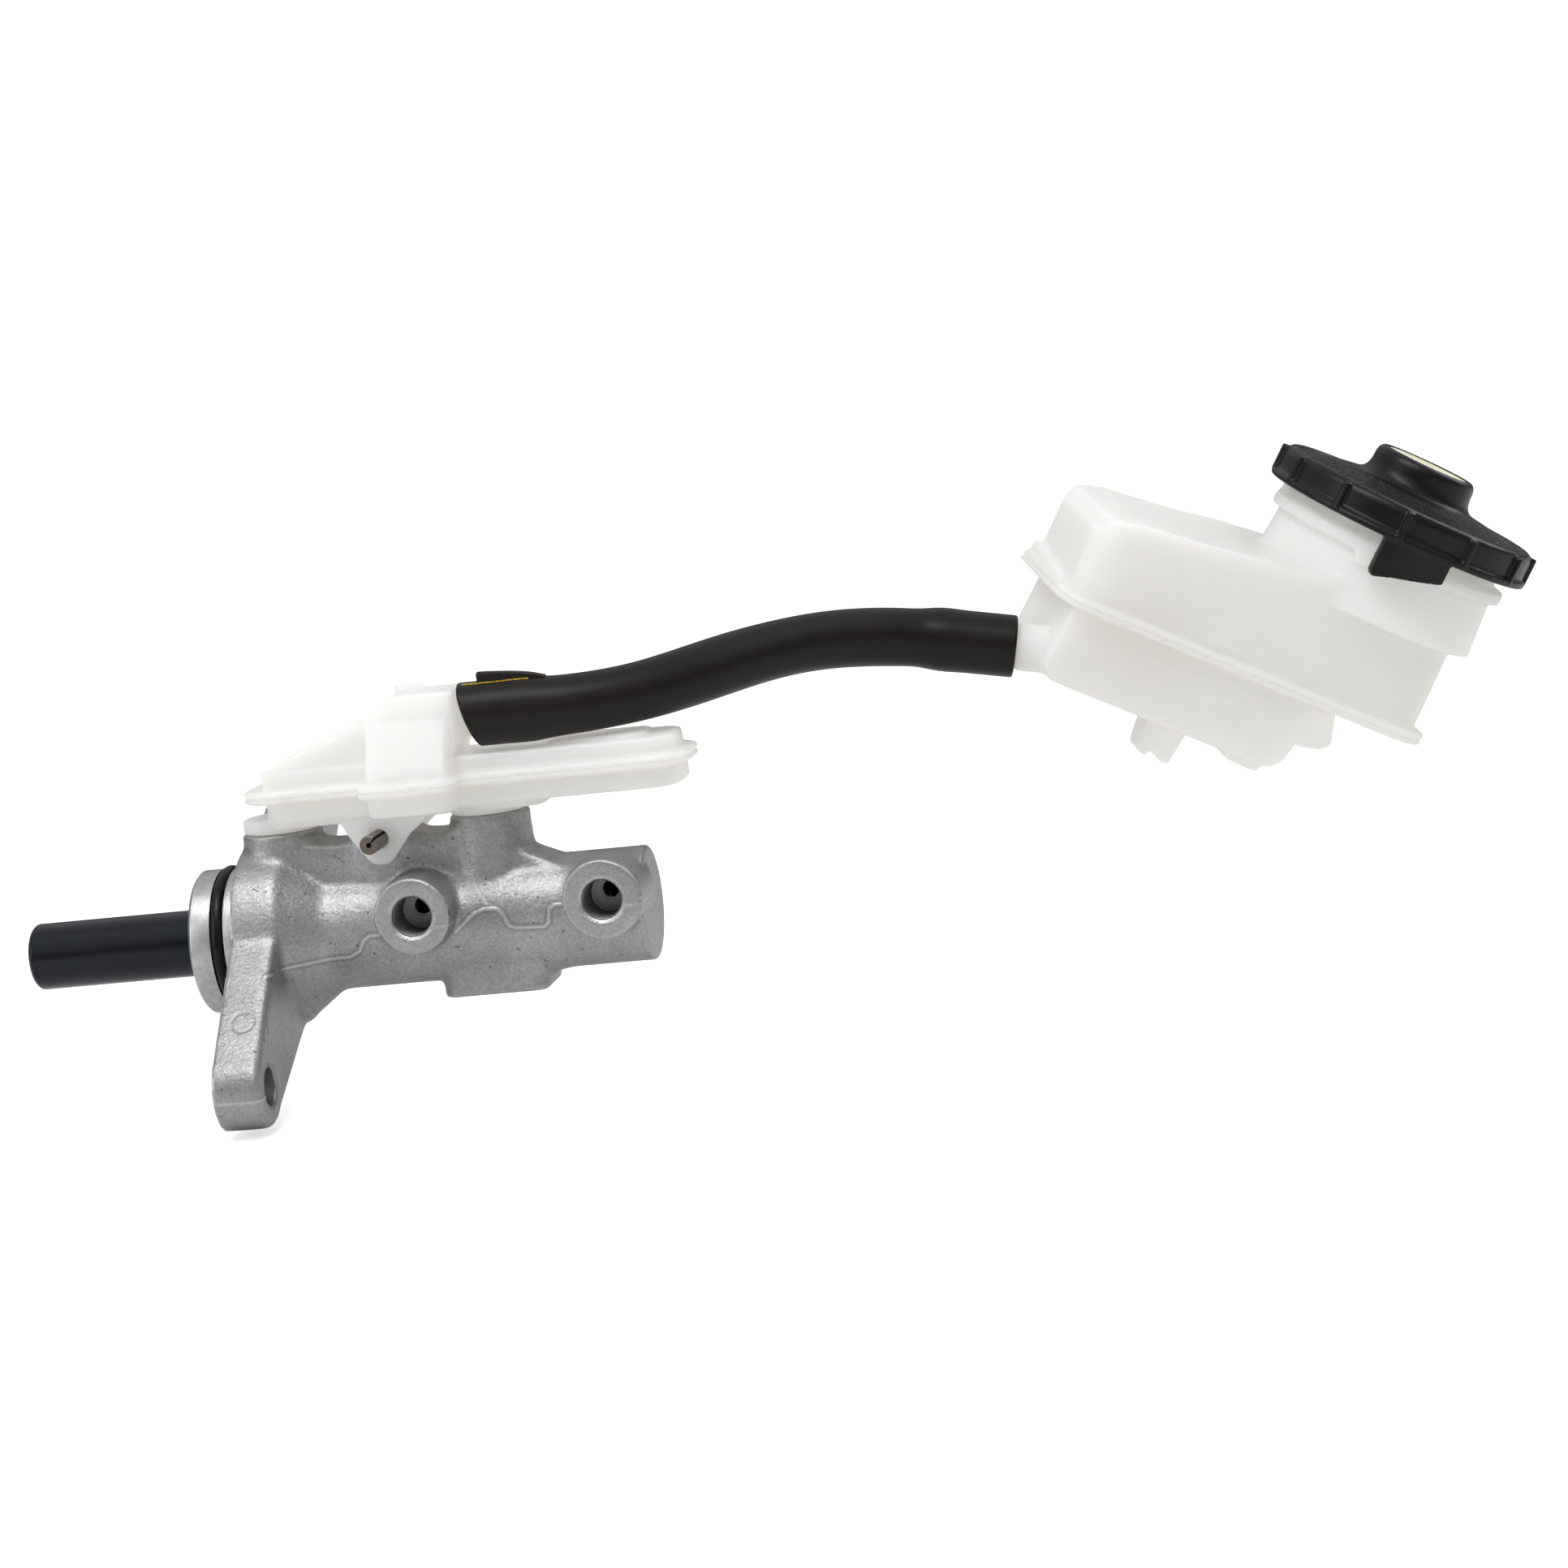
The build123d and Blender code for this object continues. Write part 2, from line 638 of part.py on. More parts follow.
# ================================================================ reservoir
def reservoir_lower_shell():
    x0, x1 = 4.0, 71.6
    depth = 38.0 - RES_NEAR_Y
    floor_z = -20.4
    rim_t = 1.4
    # outlines in reservoir x, z
    walls = [
        (x0 + 0.5, 0), (x0, floor_z + 3), (x0 + 3, floor_z), (x1 - 6.4, floor_z),
        (x1 - 3.4, floor_z + 0.9), (x1 - 1.4, floor_z + 3.4), (x1 - 0.3, floor_z + 8),
        (x1, floor_z + 13.4), (x1 + 2.4, floor_z + 17.4), (x1 + 6.0, 0)]
    hollow = [
        (x0 + 2.4, 1), (x0 + 2.4, floor_z + 4), (x0 + 4.4, floor_z + 2.2),
        (x1 - 8.6, floor_z + 2.2), (x1 - 4.0, floor_z + 4.2), (x1 - 2.2, floor_z + 9),
        (x1 - 2.0, 1)]
    clip = [(35.4, floor_z + 0.4), (36.0, -25.0), (36.6, -28.9), (39.1, -29.7),
            (39.5, -28.0), (42.5, -28.4), (43.3, -29.8), (45.6, -29.3),
            (46.4, floor_z + 0.4)]
    pad = [(56.6, floor_z + 0.4), (57.4, -22.4), (66.2, -22.8), (67.4, floor_z + 1.6)]
    tab = [(68.6, -1.0), (68.6, -13.6), (77.4, -14.1), (82.9, -12.6), (84.6, -10.5),
           (82.4, -4.3), (81.4, -1.0)]
    # added below the shell: outline, y of its port side, thickness
    attachments = ((clip, 8.0, 9.0), (pad, 6.0, 10.0), (tab, 14.0, 3.0))
    nipple_start = -1.4   # distance along the outlet axis
    with BuildPart() as shell:
        with BuildSketch(res_xz(RES_NEAR_Y)):
            with BuildLine():
                Polyline(*walls, close=True)
            make_face()
        extrude(amount=-depth)
        # weld flange
        with BuildSketch(res_xy(-rim_t, RES_RIM_LENGTH / 2, RES_RIM_WIDTH / 2)) as rim:
            pan_outline(rim, RES_RIM_LENGTH, RES_RIM_WIDTH, RES_RIM_RADII)
        extrude(amount=rim_t)
        # hollow
        with BuildSketch(res_xz(RES_NEAR_Y + RES_WALL)):
            with BuildLine():
                Polyline(*hollow, close=True)
            make_face()
        cut(-(depth - 2 * RES_WALL))
        # bracket clip and pad under the floor, tab under the high-x end of the flange
        for outline, side_y, thickness in attachments:
            with BuildSketch(res_xz(side_y)):
                with BuildLine():
                    Polyline(*outline, close=True)
                make_face()
            extrude(amount=-thickness)
        # level lines on the port side wall
        with BuildSketch(res_xz(RES_NEAR_Y - MARK_SINK)):
            with Locations((53.0, -4.3)):
                Rectangle(26.0, MARK_WIDTH)
            with Locations((56.0, -10.5)):
                Rectangle(20.0, MARK_WIDTH)
        extrude(amount=-MARK_DEPTH)
        # angled outlet nipple: tube, thick root, barb, bore
        with BuildSketch(outlet_plane(nipple_start)):
            Circle(NIPPLE_R)
        extrude(amount=22.0 - nipple_start)
        with BuildSketch(outlet_plane(nipple_start)):
            Circle(5.8)
        extrude(amount=6.2 - nipple_start)
        with BuildSketch(outlet_plane(18.6)):
            Circle(BARB_R)
        extrude(amount=3.4, taper=8)
        with BuildSketch(outlet_plane(-4.0)):
            Circle(NIPPLE_BORE_R)
        cut(27.0)
    return shell.part


def reservoir_upper_shell():
    x0, x1 = 3.0, 100.6
    far_y = 47.0
    length = x1 - x0 + 1.4
    depth = far_y - RES_NEAR_Y
    centre_x, centre_y = (x0 + x1) / 2, (RES_NEAR_Y + far_y) / 2
    # outlines in reservoir x, z
    void_outline = [
        (x0 + 2.2, -1), (x0 + 1.6, 16.2), (x0 + 3.8, 18.9), (12.6, 20.5), (29.2, 22.1),
        (44.2, 24.3), (58.4, 25.7), (66.0, 28.6), (95.6, 30.6), (x1 - RES_WALL, -1)]
    walls = [
        (x0, WELD_GAP), (x0 - 0.6, 17.0), (x0 + 2.2, 21.0), (12.4, 22.8), (29.0, 24.4),
        (44.0, 26.6), (58.0, 28.0), (66.0, 31.0), (97.8, 33.0), (x1, WELD_GAP)]
    # reservoir y, z
    lip = [(7.0, 0.5), (9.0, 2.2), (20.0, 4.0), (36.0, 5.0), (41.5, 5.1), (42.0, 0.5)]
    neck_r = 27.5

    # space inside the shell, rounded like the walls around it
    with BuildPart() as void:
        with BuildSketch(res_xz(RES_NEAR_Y + RES_WALL)):
            with BuildLine():
                Polyline(*void_outline, close=True)
            make_face()
        extrude(amount=-(depth - 2 * RES_WALL))
        with BuildSketch(res_xy(-2, centre_x, centre_y)) as void_plan:
            pan_outline(void_plan, length - 2 * RES_WALL, depth - 2 * RES_WALL, (10.0, 7.0))
        extrude(amount=40.0, mode=Mode.INTERSECT)

    with BuildPart() as shell:
        with BuildSketch(res_xz(RES_NEAR_Y)):
            with BuildLine():
                Polyline(*walls, close=True)
            make_face()
        extrude(amount=-depth)
        with BuildSketch(res_xy(WELD_GAP, centre_x, centre_y)) as plan:
            pan_outline(plan, length, depth, (12.0, 9.0))
        extrude(amount=40.0, mode=Mode.INTERSECT)
        # weld flange
        with BuildSketch(res_xy(WELD_GAP, RES_RIM_LENGTH / 2, RES_RIM_WIDTH / 2)) as rim:
            pan_outline(rim, RES_RIM_LENGTH, RES_RIM_WIDTH, RES_RIM_RADII)
        extrude(amount=RIM_T)
        # raised lip along the outlet end of the flange
        with BuildSketch(Plane(origin=res_point(0.6, 0, 0), x_dir=RES_Y, z_dir=RES_X)):
            with BuildLine():
                Polyline(*lip, close=True)
            make_face()
        extrude(amount=1.8)
        # neck base, collar under the cap, plain neck
        with BuildSketch(cap_xy(38.6)):
            Circle(28.2)
        extrude(amount=-16.0, taper=-5)
        with BuildSketch(cap_xy(37.2)):
            Circle(30.6)
        extrude(amount=3.2)
        with BuildSketch(cap_xy(36.0)):
            Circle(neck_r)
        extrude(amount=12.6)
        # bayonet lugs on the neck
        with BuildSketch(cap_xy(41.0)):
            with PolarLocations(0, 3, start_angle=20):
                with Locations((neck_r + 0.6, 0)):
                    Rectangle(3.0, 13.0)
        extrude(amount=2.2)
        # stop lug for the cap tab
        with BuildSketch(cap_xy(34.4)):
            with PolarLocations(0, 1, start_angle=240):
                with Locations((29.0, 0)):
                    Rectangle(3.4, 5.0)
        extrude(amount=3.4)
        # hollow, filler opening and neck bore
        add(void.part, mode=Mode.SUBTRACT)
        with BuildSketch(cap_xy(26.0)):
            Circle(21.0)
        cut(14.0)
        with BuildSketch(cap_xy(38.0)):
            Circle(24.6)
        cut(12.0)
        # maximum and minimum marks
        with BuildSketch(res_xz(RES_NEAR_Y - MARK_SINK)):
            with Locations((20.0, 12.0), (40.0, 3.6)):
                Rectangle(12.0, MARK_WIDTH)
        extrude(amount=-MARK_DEPTH)
    return shell.part


def filler_strainer():
    """Flanged basket with a grid of holes in its floor."""
    with BuildPart() as strainer:
        with BuildSketch(cap_xy(26.5)):
            Circle(20.6)
        extrude(amount=13.6)
        with BuildSketch(cap_xy(38.1)):
            Circle(24.3)
        extrude(amount=2.0)
        with BuildSketch(cap_xy(28.0)):
            Circle(19.2)
        cut(14.0)
        with BuildSketch(cap_xy(26.0)):
            with GridLocations(7.0, 7.0, 4, 4):
                Circle(1.6)
        cut(3.0)
    return strainer.part


# ================================================================ level float
FLOAT_BORE_R = 3.6


def level_float():
    return tube(res_xy(-6.0, FLOAT_X, FLOAT_Y), 9.5, FLOAT_BORE_R, 7.0)


def float_magnet():
    return tube(res_xy(1.06, FLOAT_X, FLOAT_Y), 6.6, FLOAT_BORE_R, 2.0)


def float_guide_post():
    """Post with a wider foot; rows are radius, height."""
    with BuildPart() as post:
        for radius, height in ((FLOAT_BORE_R - 0.1, 35.5), (6.0, 1.6)):
            with BuildSketch(res_xy(-17.75, FLOAT_X, FLOAT_Y)):
                Circle(radius)
            extrude(amount=height)
    return post.part


# ================================================================ filler cap
def filler_cap():
    skirt_r, rib_r = 33.0, 34.3
    rib_depth = 1.8
    low_z = 43.4
    # radius, z: skirt, raised rim, domed top, flared knob with a rounded shoulder
    profile = [
        (0, 48.0), (22.4, 48.0), (22.4, low_z), (24.2, low_z), (24.2, 49.0), (31.0, 49.0),
        (31.0, low_z), (33.7, low_z), (34.1, low_z + 0.4), (34.1, low_z + 1.3),
        (33.5, low_z + 1.9), (skirt_r, low_z + 2.3), (skirt_r, 49.9), (32.7, 50.9),
        (32.1, 51.7), (31.2, 52.0), (30.5, 51.9), (30.0, 51.4), (29.6, 51.1), (22.0, 52.9),
        (15.8, 53.9), (14.4, 54.4), (13.5, 55.6), (13.1, 57.2), (13.0, 59.6), (12.5, 60.9),
        (11.6, 61.5), (10.6, 61.5), (10.6, CAP_LABEL_Z), (0, CAP_LABEL_Z)]
    # x from the cap axis, z
    tab_trim = [(-14.3, 32.0), (-14.3, 34.6), (-13.4, 33.6), (-9.0, 35.2), (2.9, 38.3),
                (6.0, 38.6), (6.0, 32.0)]
    axis_plane = res_xz(CAP_Y, CAP_X)
    with BuildPart() as cap:
        with BuildSketch(axis_plane):
            with BuildLine():
                Polyline(*profile, close=True)
            make_face()
        revolve(axis=Axis(res_point(CAP_X, CAP_Y, 0), RES_Z))
        # grip ribs
        with BuildSketch(cap_xy(low_z + 1.0)):
            with PolarLocations(rib_r - rib_depth / 2, 12, start_angle=10):
                Rectangle(rib_depth, 1.5)
        extrude(amount=6.8)
        # locking tab on the skirt, its lower edge slopes up towards +x
        with BuildSketch(cap_xy(low_z + 1.0)):
            Circle(33.7)
            Circle(31.2, mode=Mode.SUBTRACT)
            with Locations((-5.7, -30.0)):
                Rectangle(17.0, 30.0, mode=Mode.INTERSECT)
        extrude(amount=-11.2)
        with BuildSketch(axis_plane):
            with BuildLine():
                Polyline(*tab_trim, close=True)
            make_face()
        cut(40.0)
    return cap.part


def cap_seal():
    # base z, outer radius, inner radius, height
    rings = ((48.75, 27.4, 24.3, 0.2), (48.65, 27.2, 24.4, 0.3))
    with BuildPart() as seal:
        for base_z, outer_r, inner_r, height in rings:
            with BuildSketch(cap_xy(base_z)):
                Circle(outer_r)
                Circle(inner_r, mode=Mode.SUBTRACT)
            extrude(amount=height)
    return seal.part


def cap_label():
    with BuildPart() as label:
        with BuildSketch(cap_xy(CAP_LABEL_Z + 0.05)):
            Circle(10.4)
        extrude(amount=0.5)
    return label.part


# ================================================================ export
PIECES = {
    "cylinder_body": cylinder_body(),
    "pilot_o_ring": pilot_o_ring(),
    "rod_guide": rod_guide(),
    "rod_seal": rod_seal(),
    "guide_retaining_ring": guide_retaining_ring(),
    "primary_piston": primary_piston(),
    "primary_cup": cup(11.1, (13.9, 9.5, 9.0), 12.6, 13.6),
    "primary_spring_seat": spring_seat(PRIMARY_SHOULDER_X, 20.2),
    "primary_spring": coil_spring(PRIMARY_SHOULDER_X, SCREW_HEAD_X, wire_r=0.75),
    "spring_guide_screw": spring_guide_screw(),
    "secondary_piston": secondary_piston(),
    "secondary_rear_cup": cup(49.7, (47.3, 9.6, 9.2), 48.4, 47.4),
    "secondary_front_cup": cup(60.7, (63.8, 9.5, 9.0), 62.4, 63.6),
    "secondary_spring_seat": spring_seat(SECONDARY_SHOULDER_X, 68.6),
    "secondary_spring": coil_spring(SECONDARY_SHOULDER_X, BORE_END_X, wire_r=0.65),
    "rear_reservoir_seal": reservoir_seal(BOSS_REAR_X),
    "front_reservoir_seal": reservoir_seal(BOSS_FRONT_X),
    "tank_lower_shell": tank_lower_shell(),
    "tank_upper_shell": tank_upper_shell(),
    "retaining_pin": retaining_pin(),
    "supply_hose": supply_hose(),
    "reservoir_lower_shell": reservoir_lower_shell(),
    "reservoir_upper_shell": reservoir_upper_shell(),
    "filler_strainer": filler_strainer(),
    "level_float": level_float(),
    "float_magnet": float_magnet(),
    "float_guide_post": float_guide_post(),
    "filler_cap": filler_cap(),
    "cap_seal": cap_seal(),
    "cap_label": cap_label(),
}
for name, piece in PIECES.items():
    piece.label = name
    export_step(piece, f"parts/{name}.step")
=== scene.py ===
"""Finished looks for the brake master cylinder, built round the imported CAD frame."""
import json
import math

import bpy
import bmesh
import numpy as np
from mathutils import Matrix, Vector
from mathutils.bvhtree import BVHTree


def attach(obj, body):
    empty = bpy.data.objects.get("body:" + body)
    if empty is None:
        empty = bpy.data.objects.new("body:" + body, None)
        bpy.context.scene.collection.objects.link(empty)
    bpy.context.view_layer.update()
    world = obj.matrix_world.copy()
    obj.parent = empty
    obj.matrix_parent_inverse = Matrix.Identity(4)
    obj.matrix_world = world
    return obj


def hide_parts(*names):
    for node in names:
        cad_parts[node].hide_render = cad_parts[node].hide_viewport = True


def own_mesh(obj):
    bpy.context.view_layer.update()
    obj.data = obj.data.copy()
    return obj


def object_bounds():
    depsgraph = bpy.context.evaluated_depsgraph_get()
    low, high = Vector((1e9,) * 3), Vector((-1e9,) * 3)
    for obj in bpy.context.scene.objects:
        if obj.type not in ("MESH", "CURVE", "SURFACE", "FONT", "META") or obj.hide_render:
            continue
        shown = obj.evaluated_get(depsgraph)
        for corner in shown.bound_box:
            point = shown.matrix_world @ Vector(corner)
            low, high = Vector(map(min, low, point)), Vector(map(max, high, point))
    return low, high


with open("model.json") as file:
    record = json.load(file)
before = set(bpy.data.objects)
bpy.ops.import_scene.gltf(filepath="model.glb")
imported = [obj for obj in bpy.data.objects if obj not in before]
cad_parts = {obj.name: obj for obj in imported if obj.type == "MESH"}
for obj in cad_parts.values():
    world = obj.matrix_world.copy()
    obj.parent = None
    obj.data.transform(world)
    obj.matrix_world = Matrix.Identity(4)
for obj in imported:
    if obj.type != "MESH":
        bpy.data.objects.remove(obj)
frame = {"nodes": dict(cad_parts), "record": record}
cad_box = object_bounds()
MM = 0.001

# ------------------------------------------------------------------ axes of the tilted reservoir
RO = np.array([195.32, 38.61, 57.60])
RX = np.array([0.80803349, 0.3390941, -0.48176453]); RX /= np.linalg.norm(RX)
RZ0 = np.array([0.51709054, -0.01635143, 0.8557745])
RY = np.cross(RZ0, RX); RY /= np.linalg.norm(RY)
RZ = np.cross(RX, RY)
RR = np.stack([RX, RY, RZ])          # rows: local axes in the row frame
CAPX, CAPY = 80.0, 27.0


def to_res(co):
    """Row frame mm to reservoir mm."""
    return (co - RO) @ RR.T


def rpt(x, y, z):
    return RO + RX * x + RY * y + RZ * z


# ------------------------------------------------------------------ mesh helpers
def add_mesh(name, verts, faces, smooth=True):
    me = bpy.data.meshes.new(name)
    me.from_pydata([tuple(v) for v in verts], [], [tuple(int(i) for i in f) for f in faces])
    me.validate()
    me.update()
    ob = bpy.data.objects.new(name, me)
    bpy.context.scene.collection.objects.link(ob)
    if smooth:
        for p in me.polygons:
            p.use_smooth = True
    return ob


def get_co(me):
    a = np.empty(len(me.vertices) * 3, np.float64)
    me.vertices.foreach_get("co", a)
    return a.reshape(-1, 3)


def set_co(me, co):
    me.vertices.foreach_set("co", co.astype(np.float32).ravel())
    me.update()


def get_edges(me):
    e = np.empty(len(me.edges) * 2, np.int64)
    me.edges.foreach_get("vertices", e)
    return e.reshape(-1, 2)


def get_normals(me):
    n = np.empty(len(me.vertices) * 3, np.float64)
    me.vertex_normals.foreach_get("vector", n)
    return n.reshape(-1, 3)


def laplace(co, edges, w, iters, lam=0.6, mu=-0.62):
    """Taubin smoothing with a weight per vertex."""
    n = len(co)
    deg = np.bincount(edges.ravel(), minlength=n).astype(float)
    deg[deg == 0] = 1
    w = w[:, None]
    for i in range(iters):
        for f in (lam, mu):
            s = np.zeros_like(co)
            for k in range(3):
                s[:, k] = np.bincount(edges[:, 0], co[edges[:, 1], k], n) + np.bincount(edges[:, 1], co[edges[:, 0], k], n)
            d = s / deg[:, None] - co
            co = co + d * f * w
    return co


def soften(co, edges, w, iters, lam=0.5):
    """Plain smoothing, which rounds corners, with a weight per vertex."""
    n = len(co)
    deg = np.bincount(edges.ravel(), minlength=n).astype(float)
    deg[deg == 0] = 1
    w = w[:, None]
    for i in range(iters):
        s = np.zeros_like(co)
        for k in range(3):
            s[:, k] = np.bincount(edges[:, 0], co[edges[:, 1], k], n) + np.bincount(edges[:, 1], co[edges[:, 0], k], n)
        co = co + (s / deg[:, None] - co) * lam * w
    return co


def remeshed(node, name, voxel):
    """A finely and evenly meshed copy of a CAD node, in metres."""
    src = frame["nodes"][node]
    me = src.data.copy()
    ob = bpy.data.objects.new(name, me)
    bpy.context.scene.collection.objects.link(ob)
    ob.matrix_world = src.matrix_world.copy()
    bpy.context.view_layer.update()
    me.transform(ob.matrix_world)
    ob.matrix_world = Matrix.Identity(4)
    me.materials.clear()
    m = ob.modifiers.new("weld", "WELD")
    m.merge_threshold = 1e-6
    m = ob.modifiers.new("remesh", "REMESH")
    m.mode = "VOXEL"
    m.voxel_size = voxel * MM
    m.use_smooth_shade = True
    dg = bpy.context.evaluated_depsgraph_get()
    new = bpy.data.meshes.new_from_object(ob.evaluated_get(dg))
    ob.modifiers.clear()
    ob.data = new
    new.name = name
    bpy.data.meshes.remove(me)
    return ob


def attribute(ob, name, values):
    at = ob.data.attributes.new(name, "FLOAT", "POINT")
    at.data.foreach_set("value", values.astype(np.float32))


def smoothstep(a, b, x):
    t = np.clip((x - a) / (b - a), 0, 1)
    return t * t * (3 - 2 * t)


def lathe(name, profile, axis_o, axis_d, seg=96, closed=True):
    """Revolve (along, radius) pairs in mm about an axis."""
    o = np.array(axis_o, float)
    d = np.array(axis_d, float)
    d /= np.linalg.norm(d)
    h = np.array([0, 0, 1.0]) if abs(d[2]) < 0.9 else np.array([1.0, 0, 0])
    u = np.cross(h, d); u /= np.linalg.norm(u)
    v = np.cross(d, u)
    P = np.array(profile, float)
    n = len(P)
    verts = []
    for i in range(seg):
        a = 2 * math.pi * i / seg
        rad = u * math.cos(a) + v * math.sin(a)
        for (s, r) in P:
            verts.append((o + d * s + rad * r) * MM)
    faces = []
    m = n if closed else n - 1
    for i in range(seg):
        j = (i + 1) % seg
        for k in range(m):
            l = (k + 1) % n
            faces.append((i * n + k, j * n + k, j * n + l, i * n + l))
    ob = add_mesh(name, verts, faces)
    bm = bmesh.new()
    bm.from_mesh(ob.data)
    bmesh.ops.remove_doubles(bm, verts=bm.verts, dist=1e-7)
    bmesh.ops.recalc_face_normals(bm, faces=bm.faces)
    bm.to_mesh(ob.data)
    bm.free()
    for p in ob.data.polygons:
        p.use_smooth = True
    return ob


def round_profile(pts, r=0.4, n=3):
    """Rounds each corner of a closed profile."""
    P = [np.array(p, float) for p in pts]
    out = []
    N = len(P)
    for i in range(N):
        a, b, c = P[i - 1], P[i], P[(i + 1) % N]
        la, lc = np.linalg.norm(a - b), np.linalg.norm(c - b)
        if b[1] < 1e-6 or la < 1e-6 or lc < 1e-6:
            out.append(b)
            continue
        rr = min(r, la * 0.45, lc * 0.45)
        p0 = b + (a - b) / la * rr
        p1 = b + (c - b) / lc * rr
        for k in range(n + 1):
            t = k / n
            out.append((1 - t) ** 2 * p0 + 2 * t * (1 - t) * b + t * t * p1)
    return out


def auto_smooth(ob, angle=35):
    for p in ob.data.polygons:
        p.use_smooth = True
    try:
        ob.data.set_sharp_from_angle(angle=math.radians(angle))
    except AttributeError:
        pass


# ------------------------------------------------------------------ material helpers
class Mat:
    def __init__(self, name):
        self.m = bpy.data.materials.new(name)
        self.m.use_nodes = True
        self.t = self.m.node_tree
        self.b = self.t.nodes["Principled BSDF"]
        self.out = self.t.nodes["Material Output"]
        self.geo = self.n("ShaderNodeNewGeometry")
        self.pos = self.geo.outputs["Position"]

    def n(self, kind, **kw):
        nd = self.t.nodes.new(kind)
        for k, v in kw.items():
            setattr(nd, k, v)
        return nd

    def l(self, a, b):
        self.t.links.new(a, b)

    def noise(self, scale, detail=4.0, rough=0.5, vec=None, dist=0.0):
        nd = self.n("ShaderNodeTexNoise")
        nd.inputs["Scale"].default_value = scale
        nd.inputs["Detail"].default_value = detail
        nd.inputs["Roughness"].default_value = rough
        nd.inputs["Distortion"].default_value = dist
        self.l(vec or self.pos, nd.inputs["Vector"])
        return nd.outputs["Fac"]

    def voronoi(self, scale, vec=None, feature="F1"):
        nd = self.n("ShaderNodeTexVoronoi", feature=feature)
        nd.inputs["Scale"].default_value = scale
        self.l(vec or self.pos, nd.inputs["Vector"])
        return nd.outputs["Distance"]

    def ramp(self, fac, stops):
        nd = self.n("ShaderNodeValToRGB")
        el = nd.color_ramp.elements
        while len(el) > 1:
            el.remove(el[-1])
        for i, (p, c) in enumerate(stops):
            e = el[0] if i == 0 else el.new(p)
            e.position = p
            e.color = (c[0], c[1], c[2], 1) if isinstance(c, (tuple, list)) else (c, c, c, 1)
        self.l(fac, nd.inputs["Fac"])
        return nd.outputs["Color"]

    def mix(self, fac, a, b, mode="MIX"):
        nd = self.n("ShaderNodeMix", data_type="RGBA", blend_type=mode)
        for sock, v in ((nd.inputs[0], fac), (nd.inputs[6], a), (nd.inputs[7], b)):
            if isinstance(v, (int, float)):
                sock.default_value = v if sock.type == "VALUE" else (v, v, v, 1)
            elif isinstance(v, (tuple, list)):
                sock.default_value = (v[0], v[1], v[2], 1)
            else:
                self.l(v, sock)
        return nd.outputs[2]

    def math(self, op, a, b=None, c=None, clamp=False):
        nd = self.n("ShaderNodeMath", operation=op, use_clamp=clamp)
        for i, v in enumerate((a, b, c)):
            if v is None:
                continue
            if isinstance(v, (int, float)):
                nd.inputs[i].default_value = v
            else:
                self.l(v, nd.inputs[i])
        return nd.outputs[0]

    def attr(self, name):
        nd = self.n("ShaderNodeAttribute", attribute_name=name)
        return nd.outputs["Fac"]

    def bump(self, height, strength=0.3, distance=0.1, normal=None):
        nd = self.n("ShaderNodeBump")
        nd.inputs["Strength"].default_value = strength
        nd.inputs["Distance"].default_value = distance * MM
        self.l(height, nd.inputs["Height"])
        if normal is not None:
            self.l(normal, nd.inputs["Normal"])
        return nd.outputs["Normal"]

    def set(self, key, v):
        s = self.b.inputs[key]
        if isinstance(v, (int, float)):
            s.default_value = v
        elif isinstance(v, (tuple, list)):
            s.default_value = (*v, 1) if len(v) == 3 and s.type == "RGBA" else v
        else:
            self.l(v, s)


def use(ob, mat):
    ob.data.materials.clear()
    ob.data.materials.append(mat.m if isinstance(mat, Mat) else mat)


